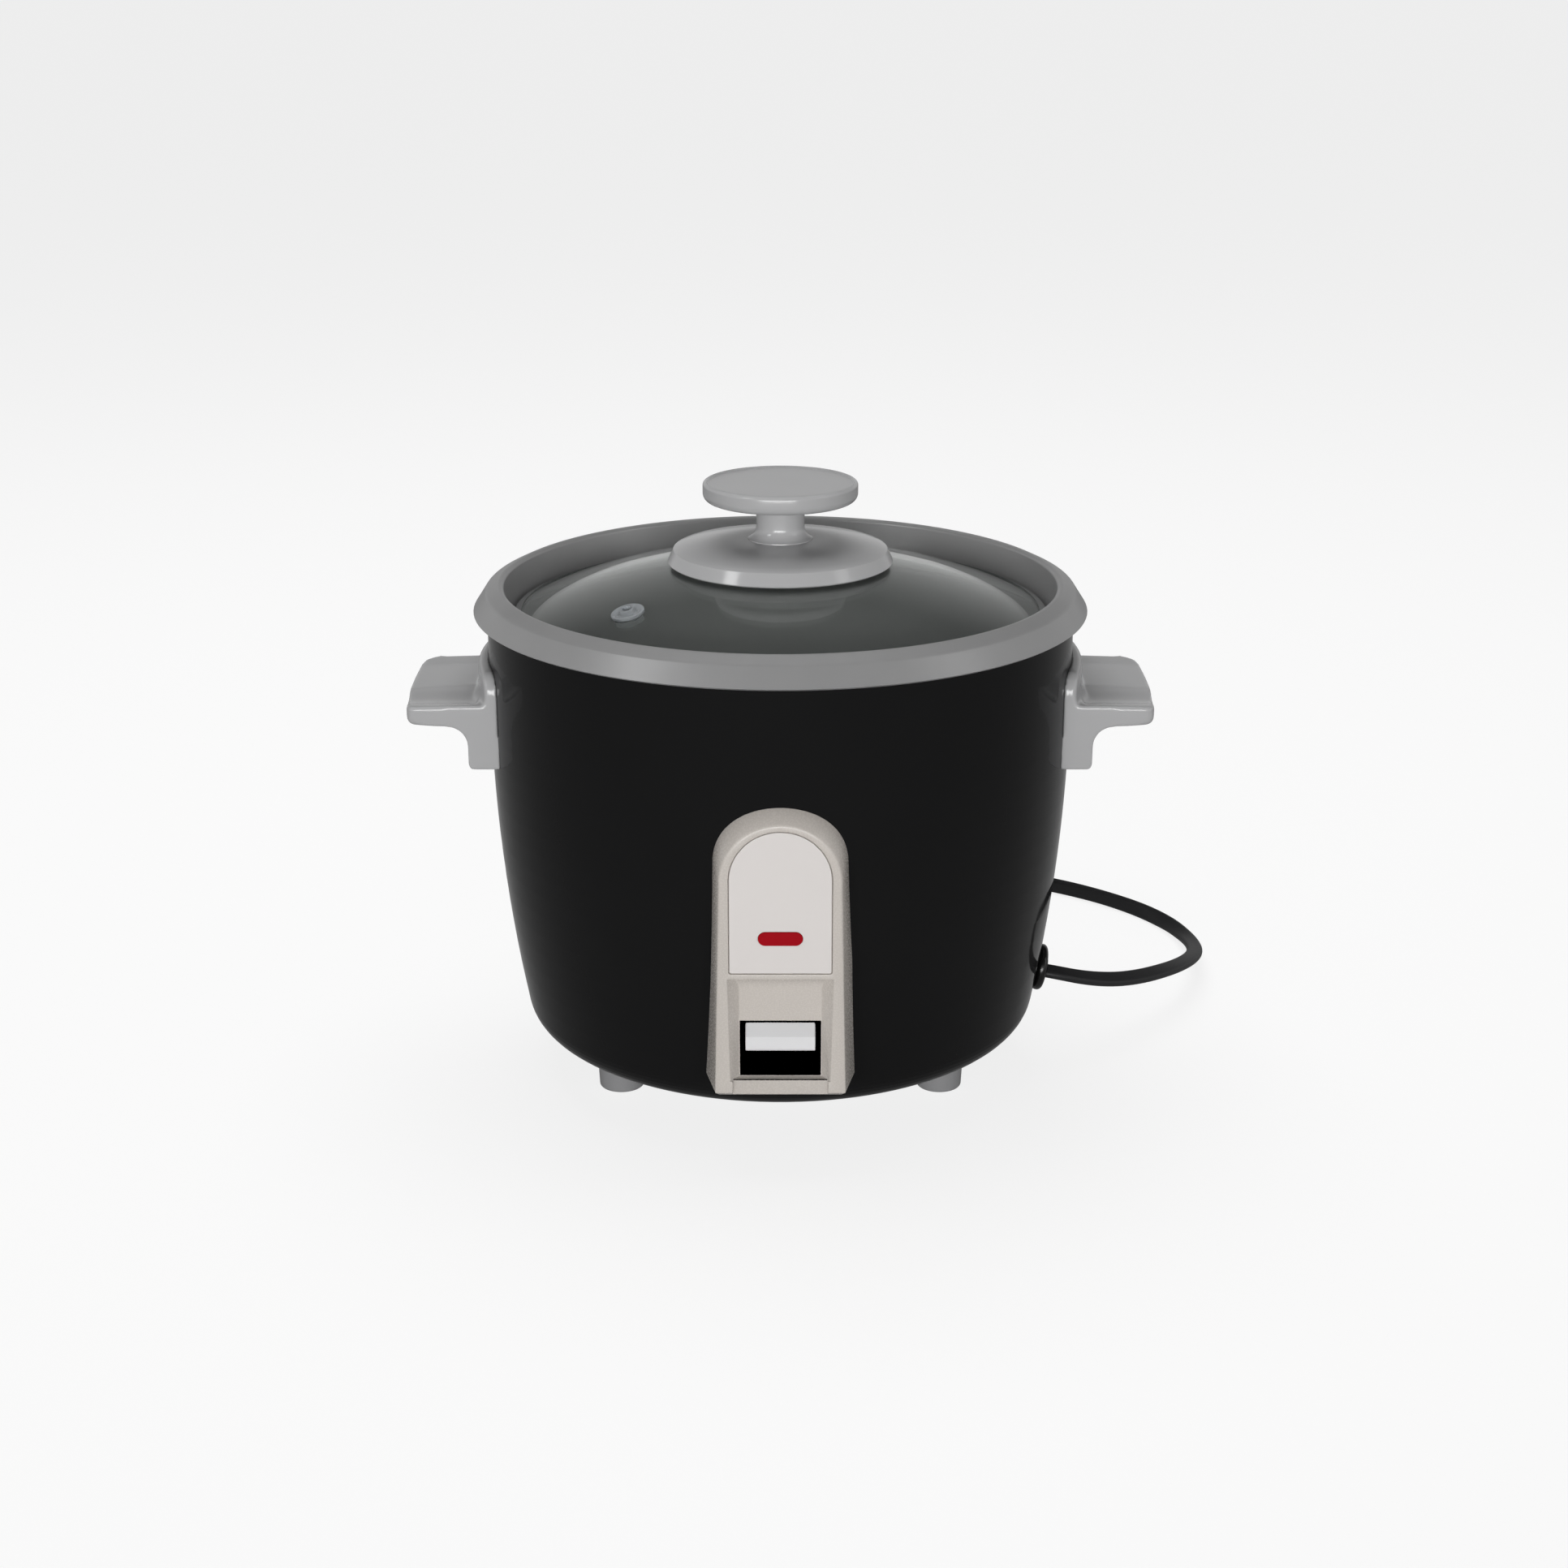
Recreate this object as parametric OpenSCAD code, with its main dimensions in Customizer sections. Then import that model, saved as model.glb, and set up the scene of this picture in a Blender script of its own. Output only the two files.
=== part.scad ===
// Automatic rice cooker, ten-cup size: a pan that lifts out of a heated body, a glass lid,
// and a magnetic cook switch under the heater plate.
// Millimetres. Origin on the surface it stands on, under the middle of the body.
// +Z is up, the front panel faces -Y and the cord leaves on the +X side.

/* [Body shell] */
// Radius of the straight upper part of the shell
body_r = 124.3; // [121:0.1:128]
// Height of the shell, from its flat bottom to its top edge
body_h = 190; // [180:1:205]
// Height of the straight upper part of the shell
straight_h = 41; // [30:1:55]
// Radius of the long curve down the side of the shell
side_curve_r = 720; // [640:10:900]
// Radius of the rounded corner at the foot of the shell
corner_r = 14; // [12:0.5:15]
// Slope of the shell's underside outside the flat ring, in degrees
bottom_tilt = 17; // [14:0.5:18]
// Distance from the shell's outside in to the service opening in its underside
underside_w = 64.3; // [62.3:0.1:68.3]
// Sheet thickness of the shell
shell_wall = 1; // [0.8:0.1:1.3]
// Width of the rim turned in at the shell's top edge
shell_lip = 3.6; // [2.8:0.1:4]

/* [Feet and bottom cover] */
// Height of a foot
foot_h = 17.2; // [14:0.2:22]
// Radius of a foot where it meets the body
foot_r = 10.5; // [9.6:0.1:10.6]
// Thickness of the bottom cover
cover_wall = 0.8; // [0.6:0.1:1.2]
// Overlap of the bottom cover under the flat ring
cover_lap = 8.4; // [7:0.2:9]

/* [Heating chamber] */
// Clear height between the shell's bottom and the chamber's floor
base_room = 43; // [43:1:50]
// Sheet thickness of the chamber
chamber_wall = 0.8; // [0.6:0.1:1]
// Gap between the pan's wall and the chamber
pan_gap = 1.3; // [0.8:0.1:1.6]
// Corner radius of the chamber
chamber_corner_r = 18; // [16:1:20]
// Height of the heater's top above the chamber's floor
heater_rise = 15; // [14:0.5:18]
// Distance from the pan's wall in to the heater plate's edge
heater_inset = 25; // [21:0.5:31]
// Thickness of the heater plate
heater_t = 8; // [7:0.5:9]
// Radius of the ring of the tubular heating element
element_ring_r = 60; // [52:1:66]
// Radius of the element's tube
element_r = 3.4; // [3:0.1:3.6]

/* [Pan] */
// Distance from the shell's outside in to the pan's wall
pan_inset = 13.3; // [12.8:0.1:16.3]
// Sheet thickness of the pan
pan_wall = 1.5; // [1.2:0.1:1.8]
// Corner radius inside the pan
pan_corner_r = 18.5; // [16:0.5:22]
// Distance that the rim's lower edge stands out from the shell
rim_overhang = 5.7; // [3.7:0.1:7.7]
// Height of the rim's crest above the shell
rim_rise = 9.7; // [9:0.1:12]
// Drop from the crest to the rim's lower edge
rim_drop = 10.9; // [9:0.1:11]
// Width of the lid's seat outside the pan's wall
seat_w = 3.6; // [3.4:0.1:4.2]
// Depth of the lid's seat below the crest
seat_depth = 17.9; // [17:0.1:20]

/* [Lid] */
// Gap between the lid's steel rim and the pan's rim
lid_gap = 1; // [0.6:0.1:1.6]
// Radius of the glass dome's top surface
dome_r = 280; // [260:5:320]
// Glass thickness
glass_t = 4; // [3:0.2:4.4]
// Sheet thickness of the lid's rim
lid_rim_t = 0.7; // [0.5:0.1:0.8]
// Distance of the steam vent in from the lid's edge
vent_inset = 33.1; // [24:0.1:44]
// Direction of the steam vent, in degrees
vent_angle = 219.7; // [180:1:270]
// Radius of the vent grommet's flange
vent_r = 7.1; // [6.5:0.1:8]

/* [Knob] */
// Radius of the knob's base disc
disc_r = 47.7; // [40:0.5:52]
// Radius of the knob's cap
cap_r = 32.7; // [28:0.1:36]
// Height of the knob above its base disc
knob_h = 24.5; // [21:0.5:30]
// Radius of the knob's stem
stem_r = 10.2; // [9.4:0.1:11.5]

/* [Handles] */
// Length of a handle along the body
handle_len = 78; // [70:1:84]
// Reach of the grip beyond the shell
grip_out = 34.1; // [28:0.1:40]
// Height of the grip's underside above the flat bottom
grip_z = 145.2; // [138:0.5:150]
// Thickness of the grip at its lips
grip_t = 8.8; // [8.2:0.1:11]
// Drop of the leg below the grip
leg_drop = 18.6; // [14:0.2:22]
// Depth of the leg beyond the shell
leg_out = 6.1; // [5.2:0.1:7.7]
// Thickness of a handle's flange over the shell
flange_t = 4.5; // [3.6:0.1:5]
// Height of the flange above the grip
flange_rise = 15.8; // [12:0.2:18]

/* [Front panel] */
// Depth of the panel's face beyond the shell
face_out = 5.7; // [4.7:0.1:7.7]
// Width of the panel's face at its arch
face_w = 48.4; // [47:0.2:52]
// Widening of the face on each side towards its lower end
face_flare = 1.8; // [0:0.1:2.4]
// Height of the panel's lower edge above the flat bottom
panel_z = 19.9; // [18.5:0.1:22]
// Height of the panel's face
face_h = 114; // [112:0.5:120]
// Wall thickness of the panel
panel_wall = 2; // [1.8:0.1:2.2]
// Width of the label plate
label_w = 40.3; // [36:0.1:41]
// Height of the label plate
label_h = 58.9; // [50:0.1:59.5]
// Width of the lamp window
lamp_w = 17.6; // [12:0.2:20]
// Height of the lamp window
lamp_h = 5.6; // [4.6:0.1:7]

/* [Cook switch] */
// Width of the opening that the switch key moves in
key_bay_w = 32.4; // [31.6:0.2:34]
// Height of that opening
key_bay_h = 24.3; // [23.4:0.1:25]
// Width of the switch key
key_w = 28.3; // [24:0.1:29.5]
// Height of the switch key
key_h = 12.4; // [11.4:0.1:13]
// Distance of the lever's pivot from the body's axis
pivot_reach = 62; // [58:1:66]
// Swing of the lever, in degrees
lever_swing = 5.5; // [4:0.1:5.6]
// Radius of the pivot pin
pivot_r = 1.5; // [1.2:0.1:1.8]
// Half width of the lever's steel arm
arm_half_w = 6; // [5:0.2:6.4]
// Thickness of the lever's steel arm
arm_t = 1.5; // [1.2:0.1:1.8]

/* [Thermostat] */
// Radius of the sensor cap in the middle of the heater
sensor_r = 20.5; // [19.6:0.1:22]
// Travel of the sensor cap
sensor_travel = 2; // [1.5:0.1:2.5]
// Radius of the ferrite and of the magnet
magnet_r = 11.2; // [10:0.1:12]
// Thickness of the magnet
magnet_t = 7.8; // [6:0.1:8.2]

/* [Cord] */
// Width of the flat cord
cord_w = 7.6; // [7:0.1:8]
// Thickness of the flat cord
cord_t = 3.8; // [3.4:0.1:4]
// Middle radius of the stored coil
coil_r = 42; // [40:0.5:44]

/* [Hidden] */

$fn = 96;
fit = 0.05;       // clearance between pieces that are fixed together
slide_fit = 0.08; // radial clearance of a piece that slides or turns
eps = 0.01;

// ---- levels and radii that several pieces share ----
service_r = body_r - underside_w;
foot_ring_r = service_r + cover_lap + foot_r + 0.7;
flat_r = foot_ring_r + foot_r + 0.1;  // outer edge of the flat ring that the feet are fixed to
pan_r = body_r - pan_inset;
heater_r = pan_r - heater_inset;
rim_r = body_r + rim_overhang;
seat_r = pan_r + seat_w;
lid_r = seat_r - lid_gap;
vent_reach = lid_r - vent_inset;
handle_reach = body_r + grip_out;
leg_reach = body_r + leg_out;
face_reach = body_r + face_out;
body_bottom = foot_h;
body_top = body_bottom + body_h;
bend_z = body_top - straight_h;
floor_z = body_bottom + base_room;
heater_top = floor_z + chamber_wall + heater_rise;
crest_z = body_top + rim_rise;
lip_z = crest_z - rim_drop;
seat_z = crest_z - seat_depth;
chamber_r = pan_r + pan_gap + chamber_wall;
mouth_r = body_r - shell_wall - shell_lip - fit;
washer_t = 1;
lid_top = seat_z + lid_rim_t + glass_t * cos(asin(lid_r / dome_r)) + dome_drop(lid_r - 1.4);
base_top = lid_top + washer_t + 6.5;
knob_top = base_top + knob_h;
knob_neck_r = 7;

// ---- panel levels ----
face_bottom = body_bottom + panel_z;
face_top = face_bottom + face_h;
bay_bottom = face_bottom + 5.4;
bay_top = bay_bottom + key_bay_h;
recess_depth = 6;
label_top = face_top - 2.8;
label_bottom = label_top - label_h;
lamp_z = label_bottom + 14.7;
lamp_y = -face_reach + 5.6;
lead_rise = 8;
key_top = bay_top - 0.6;
key_depth = 8.8;
key_rear = face_reach - 4 - key_depth;
housing_wall = 1.4;

// ---- switch levels, from the shell's bottom up and from the chamber's floor down ----
switch_y = -34;
switch_z = body_bottom + shell_wall;
switch_h = 8;
contact_r = 1.2;
foot_top = switch_z + switch_h + 1.2 + arm_t;  // top of the lever's tongue
pivot_z = floor_z - 13;
arm_top = floor_z - 3.1;
slot_top = key_top - 9.1;                      // where the arm enters the key
bracket_t = 1.2;
cheek_x = arm_half_w + 2.2;

// ---- thermostat levels ----
rod_r = 2.5;
magnet_lift = (pivot_reach + rod_r) * tan(lever_swing)
    - (pivot_z - foot_top) * (1 / cos(lever_swing) - 1) + 0.05;
rod_bottom = foot_top + 0.1;
release_spring_h = 8.8;
guide_bottom = rod_bottom + 2.2 + release_spring_h;
stem_bottom = guide_bottom + 4 + sensor_travel;
ferrite_t = 8;
cap_t = 1.2;
cap_skirt = 7.5;
cap_clear = 0.7;
cap_top = heater_top - fit;
ferrite_bottom = cap_top - cap_t - ferrite_t;
magnet_top = ferrite_bottom - 0.2 - magnet_lift - sensor_travel;
stem_in_r = magnet_r + 0.5;
stem_out_r = stem_in_r + 2.2;
guide_in_r = stem_out_r + slide_fit;
guide_out_r = guide_in_r + 2;
guide_flange_t = 1.5;
guide_screw_r = guide_out_r + 5;
guide_flange_r = guide_screw_r + 4;

// ---- cord places ----
bushing_z = body_bottom + 22;
bushing_tilt = asin((bend_z - bushing_z) / side_curve_r);
cord_gap = 0.3;
bushing_r = 7.9;
coil_x = 62;
coil_y = 180;
coil_h = 2 * cord_w + 0.2;

// Radius of the shell's side at height z, moved in by a distance
function side_r(z, inset = 0) =
    z >= bend_z ? body_r - inset
    : body_r - side_curve_r + sqrt(pow(side_curve_r - inset, 2) - pow(bend_z - z, 2));

// Height that the dome falls from its middle to a radius
function dome_drop(r) = dome_r - sqrt(dome_r * dome_r - r * r);

// Points of an arc about [cx, cy], from angle a0 to a1 in n steps
function arc(cx, cy, r, a0, a1, n = 8) =
    [for (i = [0:n]) let (a = a0 + (a1 - a0) * i / n) [cx + r * cos(a), cy + r * sin(a)]];

function unit(v) = v / norm(v);
function right_of(d) = [d[1], -d[0]];

// Points of a path moved t to its right, with mitred corners
function moved(p, t) = [for (i = [0:len(p) - 1])
    let (before = right_of(unit(i > 0 ? p[i] - p[i - 1] : p[1] - p[0])),
         after = right_of(unit(i < len(p) - 1 ? p[i + 1] - p[i] : p[i] - p[i - 1])))
    p[i] + t * (before + after) / (1 + before * after)];

function reversed(p) = [for (i = [len(p) - 1:-1:0]) p[i]];

// Closed outline of a sheet that lies t thick on the right of a path
function sheet(p, t) = concat(p, reversed(moved(p, t)));

// Outline of the shell's outside, from the top lip down to the service opening
function shell_path() =
    let (m = tan(bottom_tilt),
         k = body_bottom - flat_r * m + corner_r / cos(bottom_tilt),
         a = body_r - side_curve_r,
         b = a + m * (bend_z - k),
         c = a * a + pow(bend_z - k, 2) - pow(side_curve_r - corner_r, 2),
         cr = (b + sqrt(b * b - (1 + m * m) * c)) / (1 + m * m),
         cz = k + m * cr,
         turn = asin((bend_z - cz) / (side_curve_r - corner_r)),
         step = (90 - bottom_tilt - turn) / 7)
    concat([[body_r - shell_wall - shell_lip, body_top]],
           arc(body_r - 2, body_top - 2, 2, 90, 0, 4),
           arc(a, bend_z, side_curve_r, 0, -turn, 14),
           arc(cr, cz, corner_r, -turn - step, bottom_tilt - 90, 6),
           [[flat_r, body_bottom], [service_r, body_bottom]]);

// The whole body as one closed form, grown by a distance, for trimming what fits against it
module body_form(grow = 0) {
    pts = moved(shell_path(), -grow);
    rotate_extrude($fn = 180)
        polygon(concat([[0, body_top + 20], [body_r + grow, body_top + 20]],
                       [for (i = [2:len(pts) - 2]) pts[i]], [[0, body_bottom - grow]]));
}

// A cylinder along +X from [x, y, z]
module along_x(x, y, z, length, r) {
    translate([x, y, z]) rotate([0, 90, 0]) cylinder(h = length, r = r, $fn = 48);
}

// A cylinder along +Y, from y0 to y1
module along_y(x, z, y0, y1, r) {
    translate([x, y0, z]) rotate([-90, 0, 0]) cylinder(h = y1 - y0, r = r, $fn = 32);
}

// Screws: shank radius, head radius and head height
small_screw = [1.25, 2.6, 1.6];
cover_screw = [1.55, 3, 1.8];
body_screw = [1.65, 3.6, 1.8];
large_screw = [2, 3.8, 2.2];
function tapped(kind) = kind[0] + fit;
function drilled(kind) = kind[0] + 0.4;

// A screw with a domed head at its lower end and its shank along +Z
module screw(kind, length) {
    translate([0, 0, -kind[2]]) cylinder(h = kind[2], r1 = kind[1] * 0.8, r2 = kind[1], $fn = 32);
    cylinder(h = length, r = kind[0], $fn = 32);
}

// A hole of radius r through a sheet at height z
module hole_at(reach, angle, z, r, depth = 10) {
    rotate([0, 0, angle]) translate([reach, 0, z - depth / 2]) cylinder(h = depth, r = r);
}

module ring(r_out, r_in, h) {
    difference() {
        cylinder(h = h, r = r_out);
        translate([0, 0, -1]) cylinder(h = h + 2, r = r_in);
    }
}

function three(a0) = [for (i = [0:2]) a0 + 120 * i];
foot_angles = [210, 330, 90];
cover_screw_r = service_r + cover_lap / 2;
foot_seat = 4; // thickness of a foot above its screw's head
cover_screw_angles = three(30);
heater_screw_angles = three(90);
guide_screw_angles = [45, 135, 225, 315];
handle_screw_y = handle_len / 2 - 17;
handle_screw_z = body_bottom + grip_z + grip_t / 2 - 1;
handle_screw_x = sqrt(pow(side_r(handle_screw_z - 4, shell_wall), 2) - pow(handle_screw_y + 4, 2)) - 0.1;
panel_screw_z = face_top - 12;
terminal_angles = [60, 120];
element_z = heater_top - heater_t + 1;
pin_end_r = element_r - 0.7;  // cold end of the element, down through the chamber's floor
insulator_r = pin_end_r + 2.2;
heater_screw_r = heater_r - 12;

/* ---- shell, feet and bottom cover ---- */
module outer_body() color("#1b1b1c") difference() {
    rotate_extrude($fn = 180) polygon(sheet(shell_path(), shell_wall));
    // opening for the switch housing
    translate([-key_bay_w / 2 - housing_wall - fit, -body_r - 5, bay_bottom - housing_wall - fit])
        cube([key_bay_w + 2 * (housing_wall + fit), 40, key_bay_h + 2 * (housing_wall + fit)]);
    // cord bushing
    translate([side_r(bushing_z), 0, bushing_z]) rotate([0, 90 + bushing_tilt, 0])
        translate([0, 0, -12]) cylinder(h = 24, r = bushing_r + 0.1);
    // handle, panel, foot and cover screws, and the lamp's leads
    for (side = [0, 180], y = [-handle_screw_y, handle_screw_y])
        rotate([0, 0, side]) along_x(body_r - 15, y, handle_screw_z, 20, drilled(body_screw));
    along_y(0, panel_screw_z, -body_r - 5, -body_r + 15, drilled(body_screw));
    along_y(0, lamp_z + lead_rise, -body_r - 5, -body_r + 15, 3);
    for (a = foot_angles) hole_at(foot_ring_r, a, body_bottom, large_screw[0] + 0.1);
    for (a = cover_screw_angles) hole_at(cover_screw_r, a, body_bottom, tapped(cover_screw));
}

module bottom_cover() color("#b4b6b8") difference() {
    translate([0, 0, body_bottom - cover_wall]) cylinder(h = cover_wall, r = service_r + cover_lap);
    for (a = cover_screw_angles) hole_at(cover_screw_r, a, body_bottom, tapped(cover_screw));
    // ventilation slots
    for (a = [0:30:330]) rotate([0, 0, a])
        translate([service_r / 2, -2, body_bottom - 5]) cube([service_r * 0.3, 4, 10]);
}

module cover_screws() color("#c8c9cb") for (a = cover_screw_angles)
    rotate([0, 0, a]) translate([cover_screw_r, 0, body_bottom - cover_wall]) screw(cover_screw, 6);

module foot(angle) color("#9a9a9c") rotate([0, 0, angle]) translate([foot_ring_r, 0, 0]) difference() {
    rotate_extrude() polygon(concat([[0, 0]], arc(foot_r - 2.2, 1.4, 1.4, -90, 0, 5),
                                    [[foot_r, foot_h], [0, foot_h]]));
    translate([0, 0, -1]) cylinder(h = foot_h - foot_seat + 1, r = large_screw[1] + 0.6);
    cylinder(h = foot_h + 1, r = large_screw[0] + 0.1);
}

module foot_screws() color("#c8c9cb") for (a = foot_angles)
    rotate([0, 0, a]) translate([foot_ring_r, 0, foot_h - foot_seat]) screw(large_screw, 9);

/* ---- heating chamber and heater ---- */
module heating_chamber() color("#c4c5c6") difference() {
    step_z = seat_z - pan_wall - 3;
    rotate_extrude() polygon(sheet(concat(
        [[body_r - 1.6, body_top], [mouth_r, body_top], [mouth_r, step_z + 3], [chamber_r, step_z]],
        arc(chamber_r - chamber_corner_r, floor_z + chamber_corner_r, chamber_corner_r, 0, -90, 8),
        [[guide_in_r + 0.7, floor_z]]), chamber_wall));
    for (a = terminal_angles) hole_at(element_ring_r, a, floor_z, insulator_r + 0.1);
    for (a = heater_screw_angles) hole_at(heater_screw_r, a, floor_z, drilled(body_screw));
    for (a = guide_screw_angles) hole_at(guide_screw_r, a, floor_z, tapped(small_screw));
}

module heater_plate() color("#b9bcbf") difference() {
    union() {
        translate([0, 0, heater_top - heater_t]) cylinder(h = heater_t, r = heater_r);
        translate([0, 0, element_z - element_r])
            ring(element_ring_r + element_r + 3, element_ring_r - element_r - 3, element_r);
        for (a = heater_screw_angles) rotate([0, 0, a]) translate([heater_screw_r, 0, floor_z + chamber_wall])
            cylinder(h = heater_rise - heater_t + 1, r = 5);
    }
    translate([0, 0, floor_z]) cylinder(h = heater_rise + 10, r = sensor_r + cap_clear);
    // groove that the element is pressed into, and its two ends
    translate([0, 0, element_z]) rotate_extrude()
        translate([element_ring_r, 0]) circle(r = element_r + fit, $fn = 32);
    translate([0, 0, floor_z]) ring(element_ring_r + element_r - 0.6, element_ring_r - element_r + 0.6,
                                    heater_rise - heater_t + 1);
    for (a = heater_screw_angles)
        hole_at(heater_screw_r, a, floor_z, tapped(body_screw), 2 * heater_rise - 2);
}

module heating_element() color("#8d8f92") {
    // ring of tube, open between the two terminals
    difference() {
        translate([0, 0, element_z]) rotate_extrude()
            translate([element_ring_r, 0]) circle(r = element_r, $fn = 32);
        linear_extrude(height = 200) polygon([[0, 0],
            for (a = [terminal_angles[0] + 5, 90, terminal_angles[1] - 5]) 2 * heater_r * [cos(a), sin(a)]]);
    }
    for (a = terminal_angles) rotate([0, 0, a]) translate([element_ring_r, 0, floor_z - 1])
        cylinder(h = element_z - floor_z, r = pin_end_r, $fn = 32);
}

module element_terminals() color("#e8e4da") for (a = terminal_angles)
    rotate([0, 0, a]) translate([element_ring_r, 0, 0]) {
        translate([0, 0, floor_z - 4]) difference() {
            cylinder(h = 4 + chamber_wall + 2.4, r = insulator_r);
            translate([0, 0, 3 - fit]) cylinder(h = 20, r = pin_end_r + fit);
        }
        translate([-3, -0.5, floor_z - 12]) cube([6, 1, 8]);
    }

module heater_screws() color("#c8c9cb") for (a = heater_screw_angles)
    rotate([0, 0, a]) translate([heater_screw_r, 0, floor_z]) screw(body_screw, heater_rise - 4);

/* ---- thermostat: sprung sensor cap with its ferrite, and the magnet below it ---- */
module sensor_cap() color("#d5d7d9") {
    translate([0, 0, cap_top - cap_skirt]) ring(sensor_r, sensor_r - cap_t, cap_skirt - cap_t + eps);
    translate([0, 0, cap_top - cap_t]) cylinder(h = cap_t, r = sensor_r);
    translate([0, 0, stem_bottom]) ring(stem_out_r, stem_in_r, cap_top - cap_t - stem_bottom + eps);
}

module ferrite_disc() color("#3a3a3d") translate([0, 0, ferrite_bottom])
    cylinder(h = ferrite_t, r = stem_in_r - fit);

// Coils of a round wire, wound n times from z0 to z1
module coil_spring(r, wire, z0, z1, n) {
    steps = 14 * n;
    rings = [for (i = [0:steps])
        let (a = 360 * n * i / steps, z = z0 + wire + (z1 - z0 - 2 * wire) * i / steps)
        [for (b = [0:60:300])
            [(r + wire * cos(b)) * cos(a), (r + wire * cos(b)) * sin(a), z + wire * sin(b)]]];
    sweep(rings);
}

// One closed polyhedron through a list of rings of points
module sweep(rings) {
    n = len(rings[0]);
    m = len(rings);
    polyhedron(
        points = [for (r = rings) each r],
        faces = concat([[for (k = [0:n - 1]) k]], [[for (k = [n - 1:-1:0]) (m - 1) * n + k]],
            [for (i = [0:m - 2], k = [0:n - 1]) each [
                [i * n + k, (i + 1) * n + k, (i + 1) * n + (k + 1) % n],
                [i * n + k, (i + 1) * n + (k + 1) % n, i * n + (k + 1) % n]]]));
}

module sensor_spring() color("#c9ccd0")
    coil_spring((stem_out_r + sensor_r - cap_t) / 2, 0.7, floor_z + chamber_wall, cap_top - cap_t, 3);

module sensor_guide() color("#9fa3a7") difference() {
    union() {
        translate([0, 0, guide_bottom]) cylinder(h = floor_z - guide_bottom, r = guide_out_r);
        translate([0, 0, floor_z - guide_flange_t]) cylinder(h = guide_flange_t, r = guide_flange_r);
    }
    translate([0, 0, guide_bottom + 1.5]) cylinder(h = 40, r = guide_in_r);
    translate([0, 0, guide_bottom - 1]) cylinder(h = 10, r = rod_r + slide_fit);
    for (a = guide_screw_angles) hole_at(guide_screw_r, a, floor_z, drilled(small_screw));
}

module guide_screws() color("#c8c9cb") for (a = guide_screw_angles)
    rotate([0, 0, a]) translate([guide_screw_r, 0, floor_z - guide_flange_t]) screw(small_screw, 3);

module lift_magnet() color("#55575b") difference() {
    translate([0, 0, magnet_top - magnet_t]) cylinder(h = magnet_t, r = magnet_r);
    translate([0, 0, magnet_top - magnet_t - 1]) cylinder(h = 4, r = rod_r + fit);
}

module plunger_rod() color("#c0c3c6") {
    translate([0, 0, rod_bottom]) cylinder(h = magnet_top - magnet_t + 2.9 - rod_bottom, r = rod_r);
    translate([0, 0, rod_bottom + 1]) cylinder(h = 1.2, r = 5);
}

module release_spring() color("#c9ccd0")
    coil_spring(rod_r + 1.3, 0.4, rod_bottom + 2.2, guide_bottom, 3);

/* ---- cook switch ---- */
module switch_bracket() color("#bfc2c5") difference() {
    front = -pivot_reach - 10;
    rear = -guide_flange_r - 1;
    union() {
        translate([-cheek_x - bracket_t, front, floor_z - bracket_t])
            cube([2 * (cheek_x + bracket_t), rear - front, bracket_t]);
        for (x = [-cheek_x - bracket_t, cheek_x]) translate([x, 0, 0])
            rotate([90, 0, 90]) linear_extrude(height = bracket_t) polygon([
                [front, floor_z], [rear, floor_z], [rear, switch_z], [switch_y - 8, switch_z],
                [switch_y - 8, pivot_z - 5.2], [front, pivot_z - 5.2]]);
    }
    along_x(-20, -pivot_reach, pivot_z, 40, pivot_r + 0.02);
}

module pivot_pin() color("#d2d4d6") {
    half = cheek_x + bracket_t;
    along_x(-half - 2, -pivot_reach, pivot_z, 2 * half + 4, pivot_r);
    along_x(-half - 1.2, -pivot_reach, pivot_z, 1.2 - fit, pivot_r + 1.2);
}

module lever_arm() color("#b3b6b9") difference() {
    union() {
        translate([-arm_half_w, 0, 0]) rotate([90, 0, 90]) linear_extrude(height = 2 * arm_half_w)
            polygon(sheet([[-key_rear - 2, slot_top], [-key_rear + 1, slot_top], [-key_rear + 5, arm_top],
                           [-pivot_reach - 6, arm_top], [-pivot_reach, pivot_z],
                           [-pivot_reach + 5, foot_top], [8, foot_top]], arm_t));
        along_x(-arm_half_w - 1, -pivot_reach, pivot_z, 2 * arm_half_w + 2, pivot_r + 1.8);
    }
    along_x(-20, -pivot_reach, pivot_z, 40, pivot_r + slide_fit);
}

module switch_key() color("#e4e4e6") difference() {
    front = key_rear + key_depth;
    translate([-key_w / 2, 0, 0]) rotate([90, 0, 90]) linear_extrude(height = key_w) polygon(concat(
        [[-key_rear, key_top], [-front + 3.5, key_top], [-front, key_top - 0.44 * key_h]],
        arc(-front + 1.7, key_top - key_h + 1.4, 1.4, 180, 270, 5),
        [[-key_rear, key_top - key_h]]));
    translate([-arm_half_w - fit, -key_rear - 2 - fit, slot_top - arm_t - fit])
        cube([2 * (arm_half_w + fit), 10, arm_t + 2 * fit]);
}

module microswitch() color("#2a2a2c") difference() {
    translate([-cheek_x + fit, switch_y - 5, switch_z]) cube([2 * (cheek_x - fit), 10, switch_h]);
    translate([0, switch_y, switch_z + 2]) cylinder(h = 10, r = contact_r + slide_fit, $fn = 32);
}

module contact_plunger() color("#c23b2e")
    translate([0, switch_y, switch_z + 4])
        cylinder(h = foot_top - arm_t - 0.1 - switch_z - 4, r = contact_r, $fn = 32);

module thermal_fuse() color("#d9d4c4") translate([-45, -24, floor_z - 3.6]) rotate([0, 0, 55]) {
    fuse_r = 2.2;
    difference() {
        translate([-13, -3.2, -3.6]) cube([26, 6.4, 7.2]);
        along_x(-20, 0, 0, 40, fuse_r + fit);
    }
    along_x(-16, 0, 0, 32, fuse_r);
}

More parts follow.
